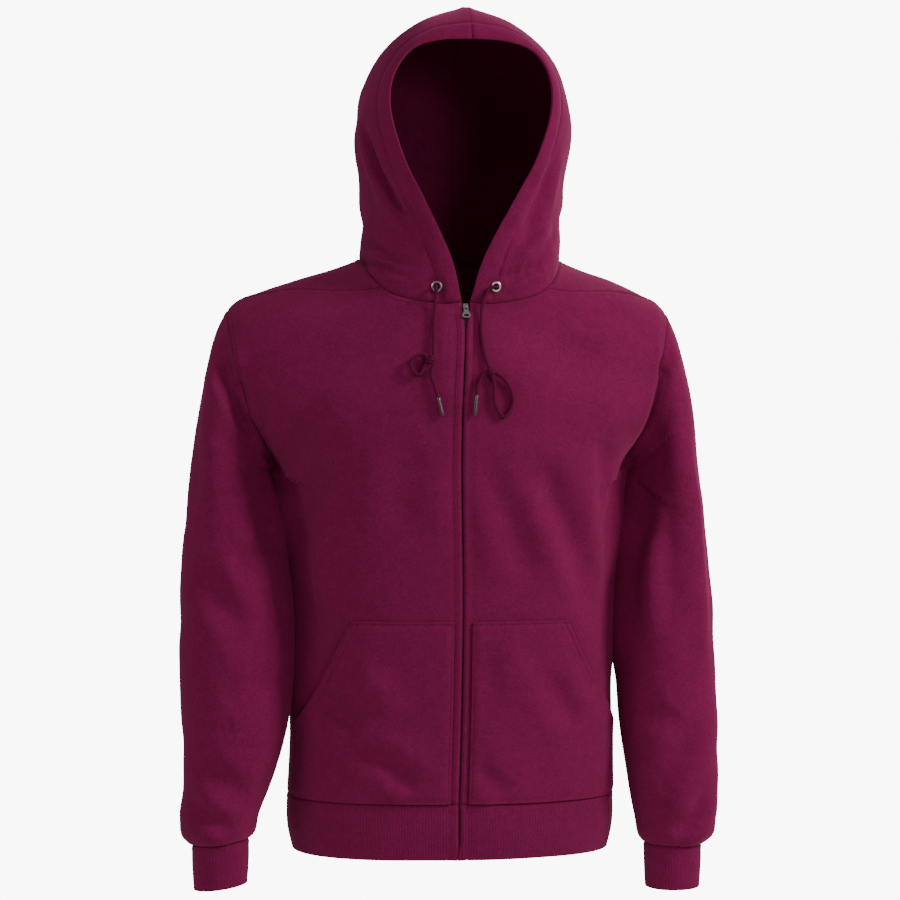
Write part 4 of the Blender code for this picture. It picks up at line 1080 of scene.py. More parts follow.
@dataclass
class ClothPiece:
    """One cut piece of cloth.

    Attributes:
        name: The piece's name. The plain solid that it stands for has the same one.
        slot: The record's material slot.
        thickness: The cloth's thickness.
        panels: Its grids.
    """

    name: str
    slot: str
    thickness: float
    panels: list

    def build(self, finish: bpy.types.Material, holes: np.ndarray) -> bpy.types.Object:
        """Args:
            finish: The cloth's material.
            holes: Centres of holes through the cloth.

        Returns:
            The piece.
        """
        inner = [p.trimmed(p.grid - p.normals * self.thickness) for p in self.panels]
        outer = [p.trimmed(p.grid) for p in self.panels]
        outer = np.vstack([grid.reshape(-1, 3) for grid in outer])
        inner = np.vstack([grid.reshape(-1, 3) for grid in inner])
        starts = np.cumsum([0] + [p.grid.size // 3 for p in self.panels])
        faces = np.vstack([p.faces() + start for p, start in zip(self.panels, starts)])
        keys = np.round(outer / (0.01 * MM)).astype(np.int64)
        _, first, again = np.unique(keys, axis=0, return_index=True, return_inverse=True)
        faces = again.reshape(-1)[faces]
        edges = np.sort(np.stack([faces, np.roll(faces, -1, axis=1)], -1).reshape(-1, 2))
        edges, times = np.unique(edges, axis=0, return_counts=True)
        rim, count = edges[times == 1], len(first)
        sides = np.stack([rim[:, 0], rim[:, 1], rim[:, 1] + count, rim[:, 0] + count], -1)
        away = np.linalg.norm(outer[first][faces].mean(axis=1)[:, None] - holes, axis=-1)
        faces = faces[away.min(axis=1) > 3.6 * MM]
        points = np.vstack([outer[first], inner[first]])
        mesh = bpy.data.meshes.new(self.name)
        mesh.from_pydata(points.tolist(), [], np.vstack([faces, faces + count, sides]).tolist())
        self.mark(mesh, first)
        return self.finished(mesh, finish)

    def mark(self, mesh: bpy.types.Mesh, first: np.ndarray) -> None:
        """Stores what the finish reads: the side of the wall, the distances from seams and
        stitches, and a flat map in metres."""
        stitches = [p.nearest(p.stitches) for p in self.panels]
        values = {
            "seam": [p.seam_distance() for p in self.panels],
            "stitch": [near for near, _ in stitches],
            "dash": [along for _, along in stitches],
        }
        for name, parts in values.items():
            own = np.concatenate([part.ravel() for part in parts])[first]
            store(mesh, name, np.tile(own, 2))
        store(mesh, "inside", np.repeat([0.0, 1.0], len(first)))
        flat = []
        for panel in self.panels:
            across = panel.across
            if self.slot == "rib":
                across = np.broadcast_to(across[:1], across.shape)
            flat.append(np.stack([across, panel.down], -1).reshape(-1, 2))
        flat = np.vstack(flat)[first]
        corner = np.zeros(len(mesh.loops), np.int32)
        mesh.loops.foreach_get("vertex_index", corner)
        layer = mesh.uv_layers.new(name="cloth")
        layer.data.foreach_set("uv", np.tile(flat, (2, 1))[corner].ravel().astype(np.float32))

    def finished(self, mesh: bpy.types.Mesh, finish: bpy.types.Material) -> bpy.types.Object:
        """The piece as an object, with turned faces, rounded rims and its declarations."""
        shape = bmesh.new()
        shape.from_mesh(mesh)
        bmesh.ops.recalc_face_normals(shape, faces=shape.faces)
        shape.to_mesh(mesh)
        shape.free()
        mesh.shade_smooth()
        mesh.materials.append(finish)
        made = linked("cloth_" + self.name, mesh)
        rim = made.modifiers.new("rim", "BEVEL")
        rim.width = 0.8 * MM
        rim.segments = 2
        rim.limit_method = "ANGLE"
        rim.angle_limit = math.radians(50)
        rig.replaces(made, self.name)
        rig.ride(made, "garment")
        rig.slot(made, self.slot)
        width = sum(float(p.across.max()) for p in self.panels)
        length = max(float(p.down.max()) for p in self.panels)
        area = None if self.slot == "rib" else sum(p.cut_area for p in self.panels)
        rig.sheet(made, flat=(width, length), held="hung", area=area)
        folded = sum(p.area() for p in self.panels)
        cut = width * length if area is None else area
        LOG.info("%s: cut %.4f m2, folded %.4f m2, %.3f by %.3f m", self.name, cut, folded,
                 width, length)
        return made


def share_seams(panels: list) -> None:
    """Gives points that lie together, on any of the panels, their mean normal."""
    points = np.vstack([p.grid.reshape(-1, 3) for p in panels])
    normals = np.vstack([p.normals.reshape(-1, 3) for p in panels])
    _, group = np.unique(np.round(points / (0.01 * MM)), axis=0, return_inverse=True)
    group = group.reshape(-1)
    mean = np.zeros((group.max() + 1, 3))
    np.add.at(mean, group, normals)
    mean = unit(mean)[group]
    start = 0
    for panel in panels:
        end = start + panel.grid.size // 3
        panel.normals = mean[start:end].reshape(panel.grid.shape)
        start = end


class Garment:
    """Every cloth piece, cut from the form and pressed into folds."""

    CHEST = np.array([0.0, 0.0, -0.30])
    HEAD = np.array([0.0, 0.0, 0.12])
    BAND_SHRINK = Table("row grow", (0, 1.0), (1, 1.004), (2, 0.998), (3, 0.975))
    CUFF_SHRINK = Table("row grow", (0, 1.0), (1, 1.01), (2, 0.99), (3, 0.955))
    ALL_ROUND = (Edge.FIRST_ROW, Edge.LAST_ROW, Edge.FIRST_COLUMN, Edge.LAST_COLUMN)
    BOTH_ENDS = (Edge.FIRST_ROW, Edge.LAST_ROW, Edge.FIRST_COLUMN)
    HEM = 24.0 * MM
    MOUTH_STITCHES = (3.0 * MM, 10.0 * MM)
    POCKET_STITCH = 3 * MM
    POCKET_STITCH_DIP = 0.5 * MM
    MOUTH_STITCH_DIP = 0.7 * MM
    STITCH_REACH = 1.5 * MM
    SEWN_AIR = 0.5 * MM
    OPEN_AIR = 1.4 * MM
    AIR_GROWS = 9 * MM
    MOUTH_AIR = 1.6 * MM
    MOUTH_REACH = 0.012
    LEAST_AIR = 0.2 * MM
    POCKET_SWEEP = math.radians(58)
    HEM_STITCH = 6 * MM

    def __init__(self, held: np.ndarray) -> None:
        """Cuts the pieces and presses them.

        Args:
            held: The eyelets' centres.
        """
        self.held = held
        self.pieces = []
        fronts = {hand: crowd(Body.front(hand.value)) for hand in Hand}
        backs = {hand: crowd(Body.back(hand.value)) for hand in Hand}
        necks = {hand: self.neck(fronts[hand], backs[hand]) for hand in Hand}
        flat = (necks[Hand.LEFT] + necks[Hand.RIGHT] * [-1, 1, 1]) / 2
        for hand in Hand:
            self.cut_side(hand, fronts[hand], backs[hand], necks[hand], flat)
        middle = (SIDE_ROWS + ARM_ROWS - BACK_NECK_ROWS) * FINE + CROWDED
        halves = [
            Panel(backs[hand], self.CHEST, self.ALL_ROUND, ((Edge.FIRST_ROW, self.HEM_STITCH),),
                  joined_rows=middle)
            for hand in Hand
        ]
        self.pieces.append(ClothPiece("back", "fleece", FLEECE, halves))
        self.add("waistband", "rib", RIB, self.band(fronts, backs), self.CHEST,
                 (Edge.FIRST_ROW, Edge.FIRST_COLUMN, Edge.LAST_COLUMN))
        panels = [panel for piece in self.pieces for panel in piece.panels]
        share_seams(panels)
        self.field = FoldField(self.pieces)
        lifts = [panel.rise(self.field, held) for panel in panels]
        for panel, lift in zip(panels, lifts):
            panel.move(lift)
        share_seams(panels)

    @staticmethod
    def neck(front: np.ndarray, back: np.ndarray) -> np.ndarray:
        """The neck seam's points on one side, from the zip round to the middle behind."""
        first = (SIDE_ROWS + ARM_ROWS - FRONT_NECK_ROWS) * FINE + CROWDED
        last = (SIDE_ROWS + ARM_ROWS - BACK_NECK_ROWS) * FINE + CROWDED
        return np.vstack([front[first:, 0], back[last:-1, 0][::-1]])

    def add(self, name: str, slot: str, thickness: float, grid: np.ndarray,
            centre: np.ndarray, seams: tuple, **more: object) -> np.ndarray:
        """Adds a piece of one grid, and gives the grid back."""
        panel = Panel(grid, centre, seams, **more)
        self.pieces.append(ClothPiece(name, slot, thickness, [panel]))
        return grid

    def cut_side(self, hand: Hand, front: np.ndarray, back: np.ndarray,
                 neck: np.ndarray, flat: np.ndarray) -> None:
        """Cuts the front, sleeve, cuff and hood of one side."""
        word = hand.word
        self.add("front_" + word, "fleece", FLEECE, front, self.CHEST, self.ALL_ROUND,
                 stitches=((Edge.FIRST_ROW, self.HEM_STITCH),
                           (Edge.LAST_COLUMN, self.HEM_STITCH),
                           (Edge.FIRST_COLUMN, Panel.PLACKET)))
        under = SIDE_ROWS * FINE + CROWDED
        loop = np.vstack([front[under:, -1], back[under + 1 : -1, -1][::-1]])
        size = LEFT_SLEEVE if hand is Hand.LEFT else RIGHT_SLEEVE
        sleeve = crowd(Sleeve.grid(loop, size, hand.value), columns=False)
        self.add("sleeve_" + word, "fleece", FLEECE, sleeve, sleeve.mean(axis=(0, 1)),
                 self.BOTH_ENDS, stitches=((Edge.LAST_ROW, self.HEM_STITCH),), closed=True)
        cuff = self.cuff(sleeve[-1])
        self.add("cuff_" + word, "rib", RIB, cuff, cuff.mean(axis=(0, 1)),
                 (Edge.FIRST_ROW,), closed=True)
        hood = crowd(Hood.half(neck, flat, hand.value), columns=False)
        self.add("hood_" + word, "fleece", HOOD_CLOTH, hood, self.HEAD,
                 (Edge.FIRST_ROW, Edge.LAST_ROW, Edge.LAST_COLUMN),
                 stitches=((Edge.FIRST_COLUMN, self.HEM + 1.5 * MM),
                           (Edge.FIRST_ROW, self.HEM_STITCH)),
                 hem=self.HEM)

    def cuff(self, seam: np.ndarray) -> np.ndarray:
        """The cuff: rows down from the sleeve's end, drawn in a little below the seam."""
        at = np.linspace(0, 3, 3 * FINE + 1)
        middle = seam.mean(axis=0)
        grow = self.CUFF_SHRINK.read(at, "grow")[:, None, None]
        drop = (at / 3 * CUFF_LENGTH)[:, None, None] * np.array([0, 0, 1])
        return middle + (seam - middle) * grow - drop

    def band(self, fronts: dict, backs: dict) -> np.ndarray:
        """The waistband: rows down from the waist seam, drawn in at the bottom."""
        left, right = Hand.LEFT, Hand.RIGHT
        seam = np.vstack([fronts[left][0], backs[left][0, ::-1][1:],
                          backs[right][0, 1:], fronts[right][0, ::-1][1:]])
        at = np.linspace(0, 3, 3 * FINE + 1)
        grow = self.BAND_SHRINK.read(at, "grow")[:, None, None]
        rows = seam * np.concatenate([grow, grow, grow * 0 + 1], axis=2)
        rows = rows - (at / 3 * WAISTBAND_HEIGHT)[:, None, None] * np.array([0, 0, 1])
        for end in (0, -1):
            rows[:, end, :2] = rows[0, end, :2]
        return rows

    def pocket(self, hand: Hand) -> ClothPiece:
        """A patch pocket on the front panel, with air behind it that closes at the sewn
        edges, and a slanted mouth that stands a little open."""
        rows, columns = 9 * FINE, 8 * FINE
        z = np.linspace(WAIST_SEAM_Z + SEAM_GAP, POCKET_TOP_Z, rows + 1)
        level = Body.girth(TRUNK.columns["half_width"][1], z)
        reach = TRUNK.read(level, "half_width") * POCKET_REACH
        up = np.clip((z - POCKET_SLANT_Z) / (POCKET_TOP_Z - POCKET_SLANT_Z), 0, 1)
        outer = (reach + (POCKET_TOP_X - reach) * up)[:, None]
        turn = np.linspace(0, self.POCKET_SWEEP, columns + 1)
        share = np.sin(turn) / math.sin(self.POCKET_SWEEP)
        x = POCKET_INNER_X + (outer - POCKET_INNER_X) * share
        grid = crowd(Body.place(x, Body.girth(x, z[:, None]), hand.value))
        mouth = tuple((Edge.LAST_COLUMN, inward) for inward in self.MOUTH_STITCHES)
        sewn = tuple((edge, self.POCKET_STITCH) for edge in (Edge.FIRST_COLUMN, Edge.LAST_ROW))
        panel = Panel(grid, np.array([0.0, 0.0, -0.5]), (), mouth + sewn)
        edges = (Edge.FIRST_COLUMN, Edge.LAST_ROW, Edge.FIRST_ROW)
        sewn_away = np.min([panel.from_edge[edge] for edge in edges], axis=0)
        mouth_away = panel.from_edge[Edge.LAST_COLUMN]
        slanted = smoothstep(POCKET_SLANT_Z - 0.02, POCKET_SLANT_Z + 0.02, grid[..., 2])
        air = self.SEWN_AIR + self.OPEN_AIR * smoothstep(0, self.AIR_GROWS, sewn_away)
        mouth = slanted * self.MOUTH_AIR * bell(mouth_away, self.MOUTH_REACH)
        air += mouth * smoothstep(0.004, 0.030, sewn_away)
        for inward in self.MOUTH_STITCHES:
            line = bell(mouth_away - inward, self.STITCH_REACH)
            air -= slanted * self.MOUTH_STITCH_DIP * line
        line = bell(sewn_away - self.POCKET_STITCH, self.STITCH_REACH)
        air -= self.POCKET_STITCH_DIP * line
        rise = panel.rise(self.field, self.held)
        panel.move(rise + np.maximum(air, self.LEAST_AIR) + FLEECE)
        return ClothPiece("pocket_" + hand.word, "fleece", FLEECE, [panel])


# ---------------------------------------------------------------- drawcord


@dataclass(frozen=True)
class Route:
    """One free end of the drawcord, in rows of x, z and how far the cord's middle stands
    in front of the cloth.

    Attributes:
        fall: From the eyelet to the knot.
        knot: The knot's middle.
        loop: The bow's loop, from the knot back to it.
        tail: From the knot to the tip.
        tip: The aglet's two ends.
    """

    fall: tuple
    knot: tuple
    loop: tuple
    tail: tuple
    tip: tuple


ROUTES = {
    Hand.LEFT: Route(
        fall=((0.0400, -0.0385, 0.0052), (0.0325, -0.0520, 0.0050), (0.0284, -0.0800, 0.0042),
              (0.0297, -0.1087, 0.0040), (0.0345, -0.1290, 0.0046)),
        knot=(0.0373, -0.1360, 0.0058),
        loop=((0.0405, -0.1464, 0.0050), (0.0429, -0.1749, 0.0040), (0.0520, -0.1874, 0.0040),
              (0.0618, -0.1749, 0.0040), (0.0500, -0.1420, 0.0050)),
        tail=((0.0290, -0.1395, 0.0048), (0.0225, -0.1520, 0.0040), (0.0212, -0.1613, 0.0040)),
        tip=((0.0211, -0.1619, 0.0040), (0.0188, -0.1863, 0.0040)),
    ),
    Hand.RIGHT: Route(
        fall=((-0.0232, -0.0500, 0.0050), (-0.0250, -0.0700, 0.0044),
              (-0.0262, -0.0915, 0.0040), (-0.0272, -0.1120, 0.0044)),
        knot=(-0.0306, -0.1226, 0.0058),
        loop=((-0.0375, -0.1170, 0.0054), (-0.0480, -0.1190, 0.0060),
              (-0.0536, -0.1294, 0.0060), (-0.0445, -0.1400, 0.0056),
              (-0.0370, -0.1290, 0.0054)),
        tail=((-0.0305, -0.1380, 0.0044), (-0.0270, -0.1520, 0.0040),
              (-0.0234, -0.1640, 0.0040)),
        tip=((-0.0232, -0.1648, 0.0040), (-0.0176, -0.1866, 0.0040)),
    ),
}


class Tube:
    """A round tube along a line of points."""

    SIDES = 14

    @staticmethod
    def even(points: np.ndarray, step: float) -> np.ndarray:
        """Points a step apart on a smooth curve through the given ones."""
        points = np.array(points, float)
        at = lengths(points)
        fine = smooth(at, points, np.linspace(0, at[-1], 1200))
        count = max(4, round(float(lengths(fine)[-1]) / step))
        even = np.linspace(0, 1, count + 1)
        return read_line(even, shares(fine), fine)

    @classmethod
    def build(cls, name: str, line: np.ndarray, radius: np.ndarray,
              finish: bpy.types.Material) -> bpy.types.Object:
        """A closed tube. Each ring stands square to the line, and its first point is
        carried along without twisting.

        Args:
            name: The object's name.
            line: The middle line.
            radius: One radius for all, or one for each point.
            finish: Its material.

        Returns:
            The object.
        """
        ahead = unit(np.gradient(line, axis=0))
        aside = np.zeros_like(line)
        aside[0] = unit(np.cross(ahead[0], [0.31, 0.22, 0.93]))
        for i in range(1, len(line)):
            aside[i] = unit(aside[i - 1] - ahead[i] * np.dot(aside[i - 1], ahead[i]))
        above = np.cross(ahead, aside)
        turn = np.linspace(0, 2 * math.pi, cls.SIDES, endpoint=False)
        radius = np.broadcast_to(radius, len(line))[:, None, None]
        ring = aside[:, None] * np.cos(turn)[:, None] + above[:, None] * np.sin(turn)[:, None]
        points = (line[:, None] + ring * radius).reshape(-1, 3)
        index = np.arange(len(points)).reshape(len(line), cls.SIDES)
        wide = np.concatenate([index, index[:, :1]], axis=1)
        faces = quads(wide).tolist()
        faces += [index[0, ::-1].tolist(), index[-1].tolist()]
        mesh = bpy.data.meshes.new(name)
        mesh.from_pydata(points.tolist(), [], faces)
        mesh.shade_smooth()
        store(mesh, "around", np.tile(turn / (2 * math.pi), len(line)))
        store(mesh, "along", np.repeat(lengths(line), cls.SIDES))
        mesh.materials.append(finish)
        return linked(name, mesh)


class Drawcord:
    """One free end: out of its eyelet, tied in a bow of one loop, and down to its tip."""

    KNOT_TURNS = 2.6
    KNOT_RADIUS = 3.0 * MM
    KNOT_LENGTH = 7.5 * MM
    TURN = 2.8 * MM

    def __init__(self, hand: Hand, eyelet: tuple) -> None:
        """Works out the cord's middle line.

        Args:
            hand: The side.
            eyelet: The eyelet's centre, and the way it faces.
        """
        self.hand = hand
        route = ROUTES[hand]
        centre, out = eyelet
        place = self.place
        self.knot = place(*route.knot)
        start = [centre, centre + out * 1.6 * CORD]
        fall = [place(*row) for row in route.fall]
        loop = [place(*row) for row in route.loop]
        tail = [place(*row) for row in route.tail]
        self.tip = np.array([place(*row) for row in route.tip])
        points = start + fall + self.passing(fall[-1], loop[0]) + loop
        points += self.passing(loop[-1], tail[0]) + tail + [self.tip[0]]
        self.line = Tube.even(points, 1.4 * MM)
        self.exit = centre

    def passing(self, before: np.ndarray, after: np.ndarray) -> list:
        """Points of the cord inside the knot, between the places before and after it. Where
        the cord turns back it rounds the knot's middle, so that it never kinks."""
        come, leave = unit(self.knot - before), unit(after - self.knot)
        if np.dot(come, leave) > 0:
            return [self.knot]
        aside = unit(come + leave) * self.TURN
        return [self.knot - aside, self.knot + unit(come - leave) * self.TURN, self.knot + aside]

    @staticmethod
    def place(x: float, z: float, proud: float) -> np.ndarray:
        """A point this far in front of the front panels' cloth."""
        level = min(z, FLAT_Z)
        across = np.abs([x - LEAN.read(level, "shift")])
        y = Body.place(across, Body.girth(across, level), 1)[0, 1]
        return np.array([x, y - proud, z])

    def build(self, finishes: dict) -> None:
        word = self.hand.word
        cord = Tube.build("drawcord_" + word, self.line, CORD / 2, finishes["cord"])
        knot = Tube.build("wrap_" + word, self.wrap(), CORD / 2, finishes["cord"])
        ends = np.linspace(0, 1, 9)[:, None]
        line = self.tip[0] * (1 - ends) + self.tip[1] * ends
        width = AGLET / 2 * np.array([0.86, 0.98, 1, 1, 1, 1, 1, 0.97, 0.8])
        tip = Tube.build("tip_" + word, line, width, finishes["aglet"])
        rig.replaces(cord, "cord_" + word, "loop_" + word, "tail_" + word)
        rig.replaces(knot, "knot_" + word)
        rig.replaces(tip, "aglet_" + word)
        for piece, slot in ((cord, "cord"), (knot, "cord"), (tip, "aglet")):
            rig.ride(piece, "garment")
            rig.slot(piece, slot)
        length = float(lengths(self.line)[-1])
        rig.cord(cord, self.exit, length, CORD, "fitting", stiffness="limp", lay="hanging",
                path=self.line, with_pieces=[knot, tip])
        LOG.info("drawcord_%s: %.3f m", word, length)

    def wrap(self) -> np.ndarray:
        """The cord's turns round the knot: a coil whose axis leans across the chest."""
        axis = unit(np.array([0.55 * self.hand.value, -0.05, -0.83]))
        aside = unit(np.cross(axis, [0, 1, 0]))
        above = np.cross(axis, aside)
        t = np.linspace(0, 1, 70)[:, None]
        turn = 2 * math.pi * self.KNOT_TURNS * t
        radius = self.KNOT_RADIUS * (1 - 0.35 * (2 * t - 1) ** 2)
        coil = aside * np.cos(turn) * radius + above * np.sin(turn) * radius
        return self.knot + coil + axis * (t - 0.5) * self.KNOT_LENGTH


# ---------------------------------------------------------------- finishes


FUZZ_PITCH = 520.0
PATCH_PITCH = 90.0
WIDE_PITCH = 14.0
FUZZ_HEIGHT = 0.35
DASH = 0.0028
STITCH_WIDTH = 1.3 * MM
# Painted shade: the colour darkens within this reach of a seam, and in dashes along the stitch lines.
SEAM_PAINTED_SHADE_WIDTH = 1.6 * MM
SEAM_PAINTED_SHADE = 0.34
STITCH_PAINTED_SHADE = 0.42
DARKEST = 0.06
RIB_PITCH = 0.0034
BRAID_PITCH = 0.0032
STRANDS_ROUND = 4


class Wiring:
    """Nodes of one tree, and the links between them."""

    def __init__(self, tree: bpy.types.NodeTree) -> None:
        """Keeps the tree."""
        self.tree = tree

    def feed(self, node: bpy.types.Node, inputs: dict) -> None:
        """Gives each of these inputs a value or another node's output."""
        for name, value in inputs.items():
            if isinstance(value, bpy.types.NodeSocket):
                self.tree.links.new(value, node.inputs[name])
            else:
                node.inputs[name].default_value = value

    def node(self, kind: str, inputs: dict | None = None, **settings: object) -> bpy.types.Node:
        """A node. Each input takes a value or another node's output."""
        made = self.tree.nodes.new(kind)
        for name, value in settings.items():
            setattr(made, name, value)
        self.feed(made, inputs or {})
        return made

    def maths(self, operation: str, *values: object) -> bpy.types.NodeSocket:
        """The outcome of one sum."""
        inputs = dict(enumerate(values))
        return self.node("ShaderNodeMath", inputs, operation=operation).outputs[0]

    def noise(self, place: bpy.types.NodeSocket, pitch: float,
              detail: float = 2.0) -> bpy.types.NodeSocket:
        """Noise of this pitch, per metre."""
        inputs = {"Vector": place, "Scale": pitch, "Detail": detail}
        return self.node("ShaderNodeTexNoise", inputs).outputs["Fac"]

    def read(self, name: str) -> bpy.types.NodeSocket:
        """A stored value of the mesh."""
        return self.node("ShaderNodeAttribute", attribute_name=name).outputs["Fac"]

    def near(self, distance: object, width: float) -> bpy.types.NodeSocket:
        """1 at a distance of 0, falling to 0 at the width."""
        found = self.node("ShaderNodeMapRange", {"Value": distance, "From Min": 0.0,
                          "From Max": width, "To Min": 1.0, "To Max": 0.0},
                          interpolation_type="SMOOTHSTEP")
        return found.outputs[0]


def effect(name: str, outputs: dict) -> tuple:
    """A new node group with these outputs.

    Returns:
        The group, its wiring and its output node.
    """
    group = bpy.data.node_groups.new(name, "ShaderNodeTree")
    for label, kind in outputs.items():
        group.interface.new_socket(label, in_out="OUTPUT", socket_type=kind)
    wires = Wiring(group)
    return group, wires, wires.node("NodeGroupOutput")


def cloth_effect() -> bpy.types.NodeTree:
    """Fleece and seams: how dark each place is, and the height of its surface.

    Shade is 1 on plain cloth, and wanders with two sizes of noise. It falls along the seams and in dashes
    along the stitches: painted shade for their grooves. Height holds the fuzz and the stitches.
    """
    group, wires, out = effect("cloth", {"Shade": "NodeSocketFloat", "Height": "NodeSocketFloat"})
    place = wires.node("ShaderNodeTexCoord").outputs["Object"]
    fuzz = wires.noise(place, FUZZ_PITCH, 3.0)
    patch = wires.noise(place, PATCH_PITCH, 3.0)
    wide = wires.noise(place, WIDE_PITCH)
    dash = wires.maths("SINE", wires.maths("MULTIPLY", wires.read("dash"), 2 * math.pi / DASH))
    dash = wires.node("ShaderNodeMapRange", {"Value": dash, "From Min": -0.6, "From Max": 0.2})
    stitch = wires.near(wires.read("stitch"), STITCH_WIDTH)
    painted_stitch_shade = wires.maths("MULTIPLY", stitch, dash.outputs[0])
    seam = wires.near(wires.read("seam"), SEAM_PAINTED_SHADE_WIDTH)
    shade = wires.maths("MULTIPLY_ADD", fuzz, 0.90, 0.26)
    shade = wires.maths("MULTIPLY_ADD", patch, 0.30, shade)
    shade = wires.maths("MULTIPLY_ADD", wide, 0.22, shade)
    # Painted shade: the colour is darkened along each seam and in dashes along each stitch line, where shade falls in
    # their grooves.
    dim = wires.maths("SUBTRACT", shade, wires.maths("MULTIPLY", seam, SEAM_PAINTED_SHADE))
    dim = wires.maths("SUBTRACT", dim, wires.maths("MULTIPLY", painted_stitch_shade, STITCH_PAINTED_SHADE))
    height = wires.maths("SUBTRACT", wires.maths("MULTIPLY", fuzz, FUZZ_HEIGHT), stitch)
    wires.feed(out, {"Shade": wires.maths("MAXIMUM", dim, DARKEST), "Height": height})
    return group


def rib_effect() -> bpy.types.NodeTree:
    """Ribs along the cloth's length, as a wave of its flat map's width."""
    group, wires, out = effect("ribs", {"Height": "NodeSocketFloat"})
    flat = wires.node("ShaderNodeUVMap", uv_map="cloth").outputs["UV"]
    across = wires.node("ShaderNodeSeparateXYZ", {0: flat}).outputs["X"]
    wave = wires.maths("SINE", wires.maths("MULTIPLY", across, 2 * math.pi / RIB_PITCH))
    wires.feed(out, {"Height": wires.maths("MULTIPLY_ADD", wave, 0.5, 0.5)})
    return group


def braid_effect() -> bpy.types.NodeTree:
    """A cord's braid: two sets of strands that cross, from the place round and along."""
    group, wires, out = effect("braid", {"Height": "NodeSocketFloat"})
    around = wires.maths("MULTIPLY", wires.read("around"), 2 * math.pi * STRANDS_ROUND)
    along = wires.maths("MULTIPLY", wires.read("along"), 2 * math.pi / BRAID_PITCH)
    one = wires.maths("SINE", wires.maths("ADD", along, around))
    other = wires.maths("SINE", wires.maths("SUBTRACT", along, around))
    high = wires.maths("MULTIPLY_ADD", wires.maths("MAXIMUM", one, other), 0.5, 0.5)
    wires.feed(out, {"Height": high})
    return group


def blank(name: str) -> tuple:
    """A new material, its wiring and its shader."""
    made = bpy.data.materials.new(name)
    made.use_nodes = True
    return made, Wiring(made.node_tree), made.node_tree.nodes["Principled BSDF"]


@dataclass(frozen=True)
class ClothFinish:
    """Brushed cotton fleece or its rib.

    Attributes:
        name: The material's name.
        colour: Outside.
        painted_shade_inside: Inside, darker than the outside as painted shade for the garment's hollows.
        ribbed: True for the rib.
    """

    name: str
    colour: tuple
    painted_shade_inside: tuple
    ribbed: bool = False

    def build(self, cloth: bpy.types.NodeTree, ribs: bpy.types.NodeTree) -> bpy.types.Material:
        """Makes the material."""
        made, wires, shader = blank(self.name)
        own = wires.node("ShaderNodeGroup", node_tree=cloth)
        shade, height = own.outputs["Shade"], own.outputs["Height"]
        if self.ribbed:
            rib = wires.node("ShaderNodeGroup", node_tree=ribs).outputs["Height"]
            # Painted shade and light: the colour is darker in the hollows between the ribs and a little lighter on
            # their crowns.
            lift = wires.maths("MULTIPLY_ADD", rib, 0.14, 0.90)
            shade = wires.maths("MULTIPLY", shade, lift)
            height = wires.maths("ADD", height, wires.maths("MULTIPLY", rib, 0.9))
        # The inside of each wall takes a darker colour than the outside: painted shade for the hollows inside the
        # hood, body and sleeves.
        colours = {"Factor": wires.read("inside"), 6: (*self.colour, 1), 7: (*self.painted_shade_inside, 1)}
        side = wires.node("ShaderNodeMix", data_type="RGBA")
        wires.feed(side, colours)
        dyed = wires.node("ShaderNodeVectorMath", operation="SCALE")
        wires.feed(dyed, {0: side.outputs[2], "Scale": shade})
        bump = wires.node("ShaderNodeBump", {"Height": height, "Strength": 0.5,
                          "Distance": 0.45 * MM})
        wires.feed(shader, {
            "Base Color": dyed.outputs[0],
            "Normal": bump.outputs["Normal"],
            "Roughness": 0.92,
            "Specular IOR Level": 0.08,
            "Sheen Weight": 0.30,
            "Sheen Roughness": 0.45,
            "Sheen Tint": (0.80, 0.14, 0.36, 1),
        })
        return made


@dataclass(frozen=True)
class PlainFinish:
    """Metal, plastic, tape or cord, with a fine unevenness.

    Attributes:
        name: The material's name.
        colour: Its colour.
        roughness: Mean roughness.
        metallic: 1 for metal.
        grain: Pitch of the unevenness, per metre.
        braided: True for the cord, whose colour follows its braid: painted shade in the hollows between strands and
            painted highlight on their crowns.
        clear: How much light goes through.
    """

    name: str
    colour: tuple
    roughness: float
    metallic: float = 0.0
    grain: float = 600.0
    braided: bool = False
    clear: float = 0.0

    def build(self, braid: bpy.types.NodeTree) -> bpy.types.Material:
        """Makes the material."""
        made, wires, shader = blank(self.name)
        place = wires.node("ShaderNodeTexCoord").outputs["Object"]
        level = wires.noise(place, self.grain)
        share, least, strength, shine = 0.2, 0.9, 0.12, 0.5
        if self.braided:
            level = wires.node("ShaderNodeGroup", node_tree=braid).outputs["Height"]
            share, least, strength, shine = 0.7, 0.55, 0.7, 0.1
        # On the cord the braid's height scales the colour: painted shade between the strands and painted highlight on
        # their crowns. On the other finishes the noise gives a random tone.
        lift = wires.maths("MULTIPLY_ADD", level, share, least)
        dyed = wires.node("ShaderNodeVectorMath", operation="SCALE")
        wires.feed(dyed, {0: self.colour, "Scale": lift})
        bump = wires.node("ShaderNodeBump", {"Height": level, "Distance": 0.3 * MM,
                          "Strength": strength})
        wires.feed(shader, {
            "Base Color": dyed.outputs[0],
            "Normal": bump.outputs["Normal"],
            "Roughness": self.roughness,
            "Metallic": self.metallic,
            "Specular IOR Level": shine,
            "Transmission Weight": self.clear,
        })
        return made


